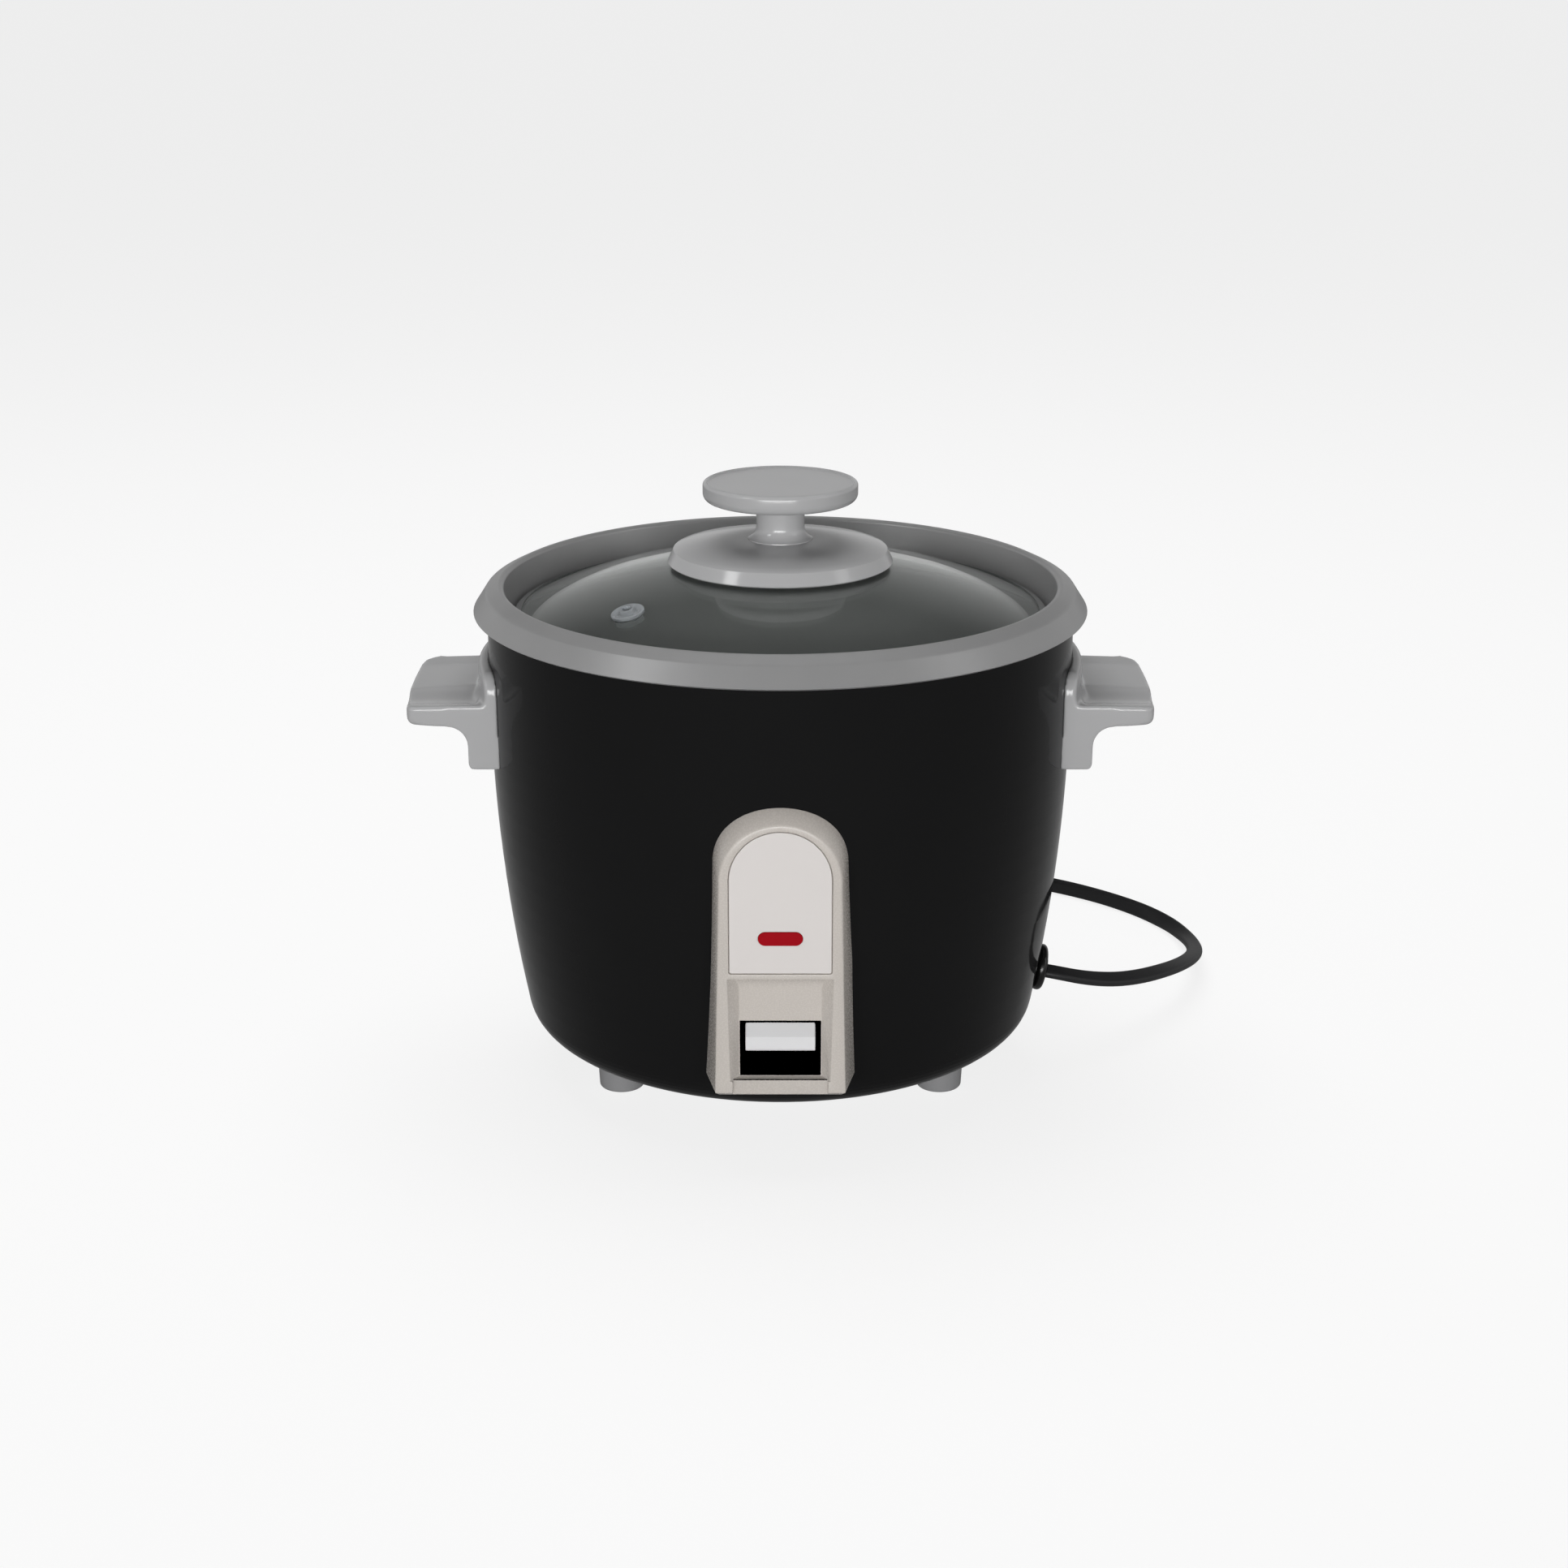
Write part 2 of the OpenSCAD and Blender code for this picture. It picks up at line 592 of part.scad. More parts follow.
module terminal_block() color("#e6e2d6") translate([64, 14, body_bottom + shell_wall]) difference() {
    cube([14, 26, 12]);
    for (y = [6.5, 19.5]) along_x(-1, y, 7, 20, 2.2);
}

// Rings of a round wire of radius r along a list of points
function wire_rings(p, r) = [for (i = [0:len(p) - 1])
    let (d = unit(i == 0 ? p[1] - p[0] : i == len(p) - 1 ? p[i] - p[i - 1]
             : unit(p[i + 1] - p[i]) + unit(p[i] - p[i - 1])),
         s = unit(cross(d, abs(d[2]) > 0.9 ? [0, 1, 0] : [0, 0, 1])), u = cross(s, d))
    [for (k = [0:7]) p[i] + r * (cos(45 * k) * s + sin(45 * k) * u)]];

function terminal_at(i) = let (a = terminal_angles[i])
    [element_ring_r * cos(a), element_ring_r * sin(a), floor_z - 14];

module internal_wires() color("#a33a2a") {
    base = body_bottom + shell_wall;
    t0 = terminal_at(0);
    t1 = terminal_at(1);
    core_x = route_in[0][0] - 1;
    core_z = route_in[0][2] + 0.2;
    // the cord's two cores to the terminal block
    sweep(wire_rings([[core_x, 1.9, core_z], [core_x - 6, 4, bushing_z], [91, 10, bushing_z - 6],
                      [87, 17, base + 10], [81, 20.5, base + 7], [74, 20.5, base + 7]], 1.1));
    sweep(wire_rings([[core_x, -1.9, core_z], [core_x - 5, -1, bushing_z - 4], [94, 14, base + 12],
                      [88, 29, base + 8], [81, 33.5, base + 7], [74, 33.5, base + 7]], 1.1));
    // live to the first end of the element
    sweep(wire_rings([[68, 33.5, base + 7], [61, 33.5, base + 7], [52, 37, base + 9], [40, 45, base + 15],
                      [t0[0] + 2, t0[1] - 2, floor_z - 20], [t0[0], t0[1], floor_z - 12.6]], 1.1));
    // neutral to the microswitch
    sweep(wire_rings([[68, 20.5, base + 7], [61, 20.5, base + 7], [54, 17, base + 6], [44, 6, base + 5],
                      [32, -12, base + 5], [22, -26, base + 5],
                      [cheek_x + bracket_t + 0.6, switch_y + 3, base + 6]], 1.1));
    // microswitch to the far end of the element, past the fuse
    sweep(wire_rings([[-cheek_x - bracket_t - 0.6, switch_y, base + 6], [-22, -33, base + 6],
                      [-38, -20, base + 9], [-48, 6, base + 12], [-46, 32, base + 16],
                      [t1[0] - 2, t1[1] - 4, floor_z - 20], [t1[0], t1[1], floor_z - 12.6]], 1.1));
}

/* ---- pan ---- */
// Inside of the pan, from its middle to the rim's lower edge
function pan_path() =
    let (in_r = pan_r - pan_wall,
         skirt = [rim_r - 6.4, crest_z - 2.4])
    concat([[0, heater_top + pan_wall]],
           arc(in_r - pan_corner_r, heater_top + pan_wall + pan_corner_r, pan_corner_r, -90, 0, 10),
           arc(in_r + 1, seat_z - 1, 1, 180, 90, 3),
           arc(seat_r - 0.6, seat_z + 0.6, 0.6, -90, -11, 3),
           arc(seat_r + 4.3, crest_z - 1.9, 1.9, 169, 69, 7),
           arc(skirt[0] - 1.4, skirt[1] - 3, 3.6, 66, 37, 3),
           [[rim_r, lip_z]]);

module inner_pan() color("#8f9092") rotate_extrude($fn = 180) polygon(sheet(pan_path(), pan_wall));

/* ---- lid ---- */
glass_edge_r = lid_r - lid_rim_t - fit;
lid_hole_r = 3.2;
vent_neck_r = vent_r - 2.65;
function dome_path(r0, r1, drop = 0, n = 14) = [for (i = [0:n]) let (r = r0 + (r1 - r0) * i / n)
    [r, lid_top - dome_drop(r) - drop]];

module lid_place(reach, angle)
    translate([0, 0, lid_top - dome_r]) rotate([0, 0, angle]) rotate([0, asin(reach / dome_r), 0])
        translate([0, 0, dome_r]) children();

module lid_glass() color([0.75, 0.82, 0.82, 0.45]) difference() {
    rotate_extrude($fn = 180)
        polygon(concat(dome_path(0, glass_edge_r), reversed(dome_path(0, glass_edge_r, glass_t))));
    translate([0, 0, lid_top - 20]) cylinder(h = 40, r = lid_hole_r);
    lid_place(vent_reach, vent_angle) translate([0, 0, -20]) cylinder(h = 40, r = vent_neck_r + fit);
}

module lid_rim() color("#c9cbcc") rotate_extrude($fn = 180) {
    t = lid_rim_t;
    polygon(concat(
        [for (r = [lid_r - 3.6, lid_r - 1.8, lid_r - 0.6]) [r, lid_top - dome_drop(r) + t]],
        [[lid_r, lid_top - dome_drop(lid_r) - 0.4], [lid_r, seat_z + 0.01], [lid_r - 3.6, seat_z + 0.01]],
        [for (r = [lid_r - 3.6, glass_edge_r + fit]) [r, lid_top - dome_drop(r) - glass_t - fit]],
        [for (r = [glass_edge_r + fit, lid_r - 1.8, lid_r - 3.6]) [r, lid_top - dome_drop(r) + fit]]));
}

module vent_grommet() color([0.8, 0.85, 0.88, 0.8]) lid_place(vent_reach, vent_angle) difference() {
    union() {
        rotate_extrude() polygon(concat(
            [[0, 0.02], [vent_r - 0.4, 0.02]], arc(vent_r - 0.8, 0.9, 0.8, -60, 90, 5),
            [[3.4, 1.7], [3.1, 2.6], [0, 2.6]]));
        translate([0, 0, -glass_t - 0.5]) cylinder(h = glass_t + 1, r = vent_neck_r);
        translate([0, 0, -glass_t - 2.2]) cylinder(h = 2, r1 = vent_r - 1.6, r2 = vent_r - 0.8);
    }
    translate([0, 0, -10]) cylinder(h = 20, r = 2.2);
}

module knob_washer() color("#d8d8d4") translate([0, 0, lid_top]) ring(11, lid_hole_r, washer_t);

module knob_base() color("#a2a2a4") rotate_extrude() {
    under = lid_top + washer_t;
    edge = lid_top - dome_drop(disc_r) + 1.7;
    polygon(concat([[knob_neck_r, under], [12, under], [12.5, under + 1.6], [disc_r - 4, edge + 1.9],
                    [disc_r - 1.8, edge], [disc_r, edge + 0.3], [disc_r - 2.4, edge + 5.6]],
                   [for (i = [0:6]) let (r = disc_r - 3.2 - (disc_r - 3.2 - 15) * i / 6)
                        [r, edge + 6 + (base_top - edge - 6) * sin(90 * (i / 6))]],
                   [[knob_neck_r, base_top]]));
}

module knob() color("#a8a8aa") difference() {
    cap_z = knob_top - 8;
    rotate_extrude() polygon(concat(
        [[0, lid_top + washer_t + 0.3], [knob_neck_r - fit, lid_top + washer_t + 0.3],
         [knob_neck_r - fit, base_top], [stem_r + 3.6, base_top]],
        arc(stem_r + 6, base_top + 5.8, 6, 246, 180, 6),
        arc(stem_r + 5, cap_z - 6, 5, 180, 100, 6),
        arc(cap_r - 3.2, cap_z + 3.2, 3.2, -90, 0, 6),
        arc(cap_r - 1.7, knob_top - 1.7, 1.7, 0, 90, 5),
        [[cap_r - 2.3, knob_top - 0.6], [0, knob_top - 0.6]]));
    translate([0, 0, lid_top]) cylinder(h = 14, r = tapped(large_screw));
}

module knob_screw() color("#c8c9cb") translate([0, 0, lid_top - glass_t - 1.2]) {
    screw(large_screw, glass_t + 12);
    ring(8, large_screw[0], 1);
}

/* ---- handles ---- */
// Outline of a handle from above: its end bows out, with a tight front corner and a full rear one
function handle_plan(front_r = 3, rear_r = 10, bow_r = 440, bow_y = 8) = let (
    front_y = -handle_len / 2 + front_r,
    rear_y = handle_len / 2 - rear_r,
    bow_x = handle_reach - bow_r,
    front_a = asin((front_y - bow_y) / bow_r),
    rear_a = asin((rear_y - bow_y) / bow_r)) concat(
    [[body_r - 16, handle_len / 2], [body_r - 16, -handle_len / 2]],
    arc(bow_x + bow_r * cos(front_a) - front_r, front_y, front_r, -90, front_a, 4),
    arc(bow_x, bow_y, bow_r, front_a / 2, rear_a / 2, 2),
    arc(bow_x + bow_r * cos(rear_a) - rear_r, rear_y, rear_r, rear_a, 90, 6));

module handle() color("#a0a0a3") difference() {
    z0 = body_bottom + grip_z;
    foot_z = z0 - leg_drop;
    grip_top = z0 + grip_t;
    flange_top = grip_top + flange_rise;
    flange_r = body_r + flange_t;
    front_y = -handle_len / 2;
    intersection() {
        union() {
            // leg and grip
            translate([0, handle_len / 2 + 1, 0]) rotate([90, 0, 0]) linear_extrude(height = handle_len + 2)
                polygon(concat(
                    [[body_r - 14, foot_z]], arc(leg_reach - 3, foot_z + 2, 2, -90, 0, 4),
                    arc(leg_reach + 8.5, z0 - 8.5, 8.5, 180, 90, 6),
                    arc(handle_reach - 3, z0 + 3, 3, -90, 0, 4),
                    [[handle_reach, grip_top], [body_r - 14, grip_top]]));
            // flange that follows the shell above the grip, with full upper corners
            intersection() {
                rotate_extrude($fn = 180) polygon(concat(
                    [[body_r - 16, foot_z], [flange_r + 4, grip_top]],
                    arc(flange_r + 4, grip_top + 4, 4, 270, 180, 4),
                    [[flange_r, flange_top - 2.6], [flange_r - 0.8, flange_top - 0.8],
                     [flange_r - 2.6, flange_top], [body_r - 16, flange_top]]));
                rotate([90, 0, 90]) linear_extrude(height = handle_reach) polygon(concat(
                    [[-front_y, foot_z]], arc(-front_y - 9, flange_top - 9, 9, 0, 90, 5),
                    arc(front_y + 9, flange_top - 9, 9, 90, 180, 5), [[front_y, foot_z]]));
            }
        }
        translate([0, 0, foot_z - 1]) linear_extrude(height = flange_top - foot_z + 2) polygon(handle_plan());
    }
    body_form(0);
    // thumb hollow across the top behind the front lip, open at the outer end
    translate([flange_r + 4, 0, grip_top]) rotate([90, 0, 90]) linear_extrude(height = grip_out)
        polygon([[front_y + 4, 1], [front_y + 9, -1.8], [front_y + 20, -1.8], [front_y + 30, 0],
                 [front_y + 30, 1]]);
    for (y = [-handle_screw_y, handle_screw_y])
        along_x(0, y, handle_screw_z, leg_reach + 6, tapped(body_screw));
}

module handle_screws() color("#c8c9cb") for (side = [0, 180], y = [-handle_screw_y, handle_screw_y])
    rotate([0, 0, side]) translate([handle_screw_x, y, handle_screw_z])
        rotate([0, 90, 0]) screw(body_screw, leg_reach - body_r + 8);

/* ---- front panel ---- */
// Arched outline in the plane of the face: half width at the arch, top, bottom, lower corner cut
// and widening towards the bottom
function arched(hw, top, bottom, cut, flare = 0) = let (foot = hw + flare) concat(
    arc(0, top - hw, hw, 0, 180, 18),
    [[-foot, bottom + cut], [-foot + cut, bottom], [foot - cut, bottom], [foot, bottom + cut]]);

// The panel's drafted form, shrunk by a wall
module panel_form(wall) {
    depth = 26;
    spread = 7;
    hull() {
        translate([0, -face_reach + wall + eps, 0]) rotate([90, 0, 0]) linear_extrude(height = eps)
            polygon(arched(face_w / 2 - wall, face_top - wall, face_bottom + wall, 1.5, face_flare));
        translate([0, -face_reach + depth, 0]) rotate([90, 0, 0]) linear_extrude(height = eps)
            polygon(arched(face_w / 2 + spread - wall, face_top + depth - wall, face_bottom - 4.1 + wall, 8));
    }
}

// Funnel from the face down to the key's opening, grown by a wall
module recess_form(wall) {
    hull() {
        translate([-key_bay_w / 2 - 4.7 - wall, -face_reach - eps, bay_bottom + 0.2 - wall])
            cube([key_bay_w + 9.4 + 2 * wall, eps, label_bottom - 2.4 - bay_bottom + 2 * wall]);
        translate([-key_bay_w / 2 - wall, -face_reach + recess_depth + wall, bay_bottom - wall])
            cube([key_bay_w + 2 * wall, eps, label_bottom - 10.1 - bay_bottom + 2 * wall]);
    }
}

module lamp_window(grow, y0, y1) {
    for (x = [-1, 1]) along_y(x * (lamp_w - lamp_h) / 2, lamp_z, y0, y1, lamp_h / 2 + grow);
    translate([-(lamp_w - lamp_h) / 2, y0, lamp_z - lamp_h / 2 - grow])
        cube([lamp_w - lamp_h, y1 - y0, lamp_h + 2 * grow]);
}

module panel_bezel() color("#c8c1b9") difference() {
    union() {
        difference() {
            panel_form(0);
            panel_form(panel_wall);
        }
        intersection() {
            recess_form(panel_wall);
            panel_form(0);
        }
        along_y(0, panel_screw_z, -face_reach + 1.5, -body_r + 10, 4);
    }
    body_form(fit);
    recess_form(0);
    // opening of the switch key
    translate([-key_bay_w / 2, -face_reach, bay_bottom]) cube([key_bay_w, 20, key_bay_h]);
    // seat of the label plate
    translate([0, -face_reach + 1.2 + 2 * fit, 0]) rotate([90, 0, 0]) linear_extrude(height = 5)
        polygon(arched(label_w / 2 + 0.15, label_top + 0.15, label_bottom - 0.15, 0.6));
    lamp_window(fit, -face_reach - 1, -face_reach + 6);
    along_y(0, panel_screw_z, -face_reach + 2.6, -body_r + 12, tapped(body_screw));
}

module panel_screws() color("#c8c9cb")
    translate([0, -side_r(panel_screw_z - 4, shell_wall) + 0.1, panel_screw_z]) rotate([90, 0, 0])
        screw(body_screw, 4);

module label_plate() color("#dedad6") difference() {
    translate([0, -face_reach + 1.2, 0]) rotate([90, 0, 0]) linear_extrude(height = 1)
        polygon(arched(label_w / 2, label_top, label_bottom, 0.6));
    lamp_window(fit, -face_reach - 1, -face_reach + 6);
}

module lamp_lens() color("#b8141f") {
    lamp_window(0, -face_reach, -face_reach + 3.4);
}

module indicator_lamp() color("#e8c8a8") along_x(-7, lamp_y, lamp_z, 14, 2);

module lamp_leads() color("#7a7a7d") for (x = [-1.6, 1.6]) {
    gap_r = (side_r(floor_z + 6, shell_wall) + chamber_r) / 2;
    top_z = lamp_z + lead_rise;
    sweep(wire_rings([[x * 5, lamp_y, lamp_z], [x * 5.4, lamp_y, lamp_z + 3], [x * 3, lamp_y, top_z - 1.5],
                      [x, lamp_y + 1.2, top_z],
                      [x, -chamber_r - 5.2, top_z], [x * 1.8, -chamber_r - 3.6, top_z - 4],
                      [x * 6, -chamber_r - 2.4, lamp_z - 10], [x * 14, -gap_r + 1.6, floor_z + 28],
                      [x * 16, -gap_r + 3.2, floor_z + 8], [x * 17, -gap_r + 9, floor_z - 6]], 0.7));
}

module key_housing() color("#0c0c0d") difference() {
    y0 = -face_reach + recess_depth + panel_wall + 0.1;
    depth = 10;
    w = key_bay_w + 2 * housing_wall;
    h = key_bay_h + 2 * housing_wall;
    union() {
        translate([-w / 2, y0, bay_bottom - housing_wall]) cube([w, depth, h]);
        // stop under the key
        translate([-6.3, y0 - 1.6, bay_bottom]) cube([12.6, 3, 1.4]);
    }
    translate([-key_bay_w / 2, y0 - 1, bay_bottom + 1.4]) cube([key_bay_w, 2, key_bay_h - 1.4]);
    translate([-key_bay_w / 2, y0 + eps, bay_bottom]) cube([key_bay_w, depth - 1.2, key_bay_h]);
    // slot that the lever's arm swings in
    translate([-arm_half_w - 1, y0, slot_top - arm_t - 7]) cube([2 * arm_half_w + 2, 20, arm_t + 8]);
}

/* ---- cord ---- */
module cord_bushing() color("#121212") translate([side_r(bushing_z), 0, bushing_z])
    rotate([0, 90 + bushing_tilt, 0]) difference() {
        rotate_extrude() polygon(concat(
            [[0, -9], [bushing_r, -9], [bushing_r + 1.3, -3.6], [bushing_r + 1.3, -shell_wall - 0.6],
             [bushing_r, -shell_wall - 0.6], [bushing_r, 0.1], [bushing_r + 2.5, 0.3]],
            arc(bushing_r + 1.1, 3, 1.4, 0, 80, 4), [[6.2, 5], [5.2, 10.9], [0, 10.9]]));
        translate([-cord_t / 2 - cord_gap, -cord_w / 2 - cord_gap, -20])
            cube([cord_t + 2 * cord_gap, cord_w + 2 * cord_gap, 40]);
    }

// Route of the cord up to the coil: place of its middle line, and its roll in degrees
// (0 lies flat, 90 stands on edge)
route_in = [
    [104.4, 0, 40.7, 0], [114, 0, 39, 0], [124, 0, 37.2, 0], [131, 3.2, 35.3, 8], [142, 11, 30.2, 18],
    [153, 21, 25.4, 15], [163, 33, 20.4, 6], [173, 47, 14, 0], [182, 61, 7.6, 0], [190, 77, 3.4, 0],
    [197, 94, 2.2, 0], [201, 112, 2.2, 5], [200, 131, 2.6, 20], [193, 150, 3.2, 45], [181, 167, 3.7, 75],
    [166, 181, 4, 90], [149, 193, 4, 90], [131, 203, 4, 90], [112, 212, 4, 90], [98, 217.5, 4, 90],
    [86, 220.6, 4, 90]
];
// Route from the coil to the plug
route_out = [
    [40, 221.8, 11.6, 90], [29, 221.2, 10.6, 78], [18, 220.2, 8.8, 50], [8, 219.2, 7.2, 20],
    [0, 218.4, 6.6, 0], [-6, 217.8, 6.5, 0]
];

// Rings of the flat cord, eight points each
function cord_rings(p) = [for (i = [0:len(p) - 1])
    let (at = [p[i][0], p[i][1], p[i][2]],
         a = i > 0 ? p[i - 1] : p[i], b = i < len(p) - 1 ? p[i + 1] : p[i],
         d = unit([b[0] - a[0], b[1] - a[1], b[2] - a[2]]),
         s = unit(cross(d, [0, 0, 1])), u = cross(s, d), roll = p[i][3],
         wide = cos(roll) * s + sin(roll) * u, thin = cross(d, wide), w = cord_w / 2, t = cord_t / 2)
    [for (q = [[1, 0.5], [0.75, 1], [-0.75, 1], [-1, 0.5], [-1, -0.5], [-0.75, -1], [0.75, -1], [1, -0.5]])
        at + w * q[0] * wide + t * q[1] * thin]];

module power_cord() color("#161616") {
    sweep(cord_rings(route_in));
    sweep(cord_rings(route_out));
}

module cord_coil() color("#161616") translate([coil_x, coil_y, 0]) rotate_extrude()
    translate([coil_r, 0]) polygon(concat(
        arc(1.3, 1.3, 1.3, -90, 0, 3), arc(1.3, coil_h - 1.3, 1.3, 0, 90, 3),
        arc(-1.3, coil_h - 1.3, 1.3, 90, 180, 3), arc(-1.3, 1.3, 1.3, 180, 270, 3)));

plug_at = [-6, 217.8];
plug_turn = 185.7;

module plug_place() translate([plug_at[0], plug_at[1], 0]) rotate([0, 0, plug_turn]) children();

module plug_body() color("#161616") plug_place() hull() {
    translate([0.1, -4.4, 3.6]) cube([1, 8.8, 5.8]);
    translate([12, -8.5, 0.8]) cube([1, 17, 11.4]);
    translate([26, -10, 0]) cube([2, 20, 13]);
}

module plug_blades() color("#c9b26a") plug_place() for (y = [-6.35, 6.35])
    translate([28 + fit, y - 0.75, 3.35]) cube([16, 1.5, 6.3]);

outer_body();
bottom_cover();
cover_screws();
foot(foot_angles[0]);  // foot_left
foot(foot_angles[1]);  // foot_right
foot(foot_angles[2]);  // foot_rear
foot_screws();
heating_chamber();
heater_plate();
heating_element();
element_terminals();
heater_screws();
sensor_cap();
ferrite_disc();
sensor_spring();
sensor_guide();
guide_screws();
lift_magnet();
plunger_rod();
release_spring();
switch_bracket();
pivot_pin();
lever_arm();
switch_key();
microswitch();
contact_plunger();
thermal_fuse();
terminal_block();
internal_wires();
lamp_leads();
inner_pan();
lid_glass();
lid_rim();
vent_grommet();
knob_base();
knob();
knob_washer();
knob_screw();
mirror([1, 0, 0]) handle();  // handle_left
handle();  // handle_right
handle_screws();
panel_bezel();
panel_screws();
label_plate();
lamp_lens();
indicator_lamp();
key_housing();
cord_bushing();
power_cord();
cord_coil();
plug_body();
plug_blades();
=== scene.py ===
# Rice cooker: a black enamelled body with a lift-out pan, a glass lid, two side grips and a front
# panel with a cook switch. The file follows the cooker as it is put together. The scene is in
# metres and the pieces' own sizes are in millimetres; +Z is up and the panel faces -Y.
import math

import bmesh
import bpy
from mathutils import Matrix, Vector


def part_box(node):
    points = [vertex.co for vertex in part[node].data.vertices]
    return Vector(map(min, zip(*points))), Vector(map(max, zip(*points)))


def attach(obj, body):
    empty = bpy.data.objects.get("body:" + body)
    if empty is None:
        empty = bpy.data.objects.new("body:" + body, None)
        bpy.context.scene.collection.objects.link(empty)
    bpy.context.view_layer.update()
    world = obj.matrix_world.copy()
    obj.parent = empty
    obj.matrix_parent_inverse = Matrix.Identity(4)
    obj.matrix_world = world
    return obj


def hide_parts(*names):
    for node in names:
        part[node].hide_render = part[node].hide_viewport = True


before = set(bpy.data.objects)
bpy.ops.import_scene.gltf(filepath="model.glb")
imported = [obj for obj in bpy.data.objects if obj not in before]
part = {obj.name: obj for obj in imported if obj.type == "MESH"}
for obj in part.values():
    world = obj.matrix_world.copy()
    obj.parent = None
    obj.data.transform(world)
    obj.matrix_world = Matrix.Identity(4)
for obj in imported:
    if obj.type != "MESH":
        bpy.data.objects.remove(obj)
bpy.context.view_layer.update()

# ---- Camera, floor and light ----
# The cooker stands on a pale floor that runs out of sight behind it. A soft sky lights it, more
# from the front than from above, and soft boxes light it or show as highlights in its gloss.
lens = bpy.data.cameras.new("camera")
lens.sensor_width = 36
lens.lens = 61.3
lens.shift_x = 0.0023
lens.clip_end = 100
camera = bpy.data.objects.new("camera", lens)
bpy.context.collection.objects.link(camera)
camera.location = (0, -1.1027, 0.4951)
camera.rotation_euler = (math.radians(71.43), 0, 0)
bpy.context.scene.camera = camera
bpy.context.scene.view_settings.view_transform = "Standard"


def ramp(tree, source, low, high, start, end):
    """Maps a value from one range to another"""
    node = tree.nodes.new("ShaderNodeMapRange")
    for label, value in (("From Min", low), ("From Max", high), ("To Min", start), ("To Max", end)):
        node.inputs[label].default_value = value
    tree.links.new(source, node.inputs["Value"])
    return node.outputs["Result"]


def blend(tree, factor, first, second):
    """Mixes two values"""
    node = tree.nodes.new("ShaderNodeMix")
    for label, source in (("Factor", factor), ("A", first), ("B", second)):
        if isinstance(source, float):
            node.inputs[label].default_value = source
        else:
            tree.links.new(source, node.inputs[label])
    return node.outputs["Result"]


sky = bpy.data.worlds.new("sky")
bpy.context.scene.world = sky
sky.use_nodes = True
air = sky.node_tree
rays = air.nodes.new("ShaderNodeLightPath").outputs
direction = air.nodes.new("ShaderNodeTexCoord")
heading = air.nodes.new("ShaderNodeSeparateXYZ")
air.links.new(direction.outputs["Generated"], heading.inputs[0])
lights = ramp(air, heading.outputs["Y"], 1, -1, 0.7, 1.3)
mirrored = ramp(air, heading.outputs["Y"], 1, -1, 0.62, 1.2)
dimmer_above = ramp(air, heading.outputs["Z"], 0, 0.55, 1, 0.06)
strength = air.nodes.new("ShaderNodeMath")
strength.operation = "MULTIPLY"
air.links.new(blend(air, rays["Is Glossy Ray"], lights, mirrored), strength.inputs[0])
air.links.new(dimmer_above, strength.inputs[1])
backdrop = air.nodes["Background"].inputs
air.links.new(blend(air, rays["Is Camera Ray"], strength.outputs[0], 0.905), backdrop["Strength"])
backdrop["Color"].default_value = (1, 1, 1, 1)


def soft_box(name, spot, aim, width, height, power, lights=True, shows=True):
    """A glowing panel aimed at a point, which lights the cooker, shows in its gloss, or both"""
    bpy.ops.mesh.primitive_plane_add(size=1, location=spot)
    panel = bpy.context.object
    panel.name = name
    panel.scale = (width, height, 1)
    panel.rotation_euler = (Vector(spot) - Vector(aim)).to_track_quat("Z", "Y").to_euler()
    panel.visible_camera = panel.visible_shadow = panel.visible_transmission = False
    panel.visible_diffuse, panel.visible_glossy = lights, shows
    glow = bpy.data.materials.new(name)
    glow.use_nodes = True
    tree = glow.node_tree
    tree.nodes.clear()
    lamp = tree.nodes.new("ShaderNodeEmission")
    lamp.inputs["Strength"].default_value = power
    end = tree.nodes.new("ShaderNodeOutputMaterial")
    tree.links.new(lamp.outputs[0], end.inputs["Surface"])
    panel.data.materials.append(glow)


soft_box("front_box", (-0.15, -2.2, 0.28), (0, 0, 0.15), 2.2, 0.5, 9.4)
soft_box("top_box", (-0.1, 0.45, 1.7), (0, 0, 0.2), 1.4, 1.4, 3.0, shows=False)
soft_box("left_box", (-1.3, -0.9, 1.1), (0, 0, 0.15), 0.4, 0.4, 6, lights=False)
soft_box("right_box", (1.4, -0.5, 0.8), (0, 0, 0.15), 0.4, 0.8, 1.6, lights=False)

bpy.ops.mesh.primitive_plane_add(size=80)
floor = bpy.context.object
floor.name = "floor"
paper = bpy.data.materials.new("floor")
paper.use_nodes = True
matt = paper.node_tree.nodes["Principled BSDF"].inputs
matt["Base Color"].default_value = (0.2, 0.2, 0.2, 1)
matt["Roughness"].default_value = 1
matt["Specular IOR Level"].default_value = 0
matt["Emission Color"].default_value = (1, 1, 1, 1)
rays = paper.node_tree.nodes.new("ShaderNodeLightPath").outputs
unseen = blend(paper.node_tree, rays["Is Glossy Ray"], 0.12, 0.17)
seen_or_not = blend(paper.node_tree, rays["Is Camera Ray"], unseen, 0.82)
paper.node_tree.links.new(seen_or_not, matt["Emission Strength"])
floor.data.materials.append(paper)

# ---- Mains cord ----
# Flat two-core cord in black PVC with a shallow valley along each face between the cores. It leaves
# the bushing, falls to the worktop past the right grip, and is wound up in two turns behind the
# cooker; only its first stretch is in view from the front.
mm = 0.001
cord_width, cord_thick, valley_depth = 7.6, 3.8, 0.12
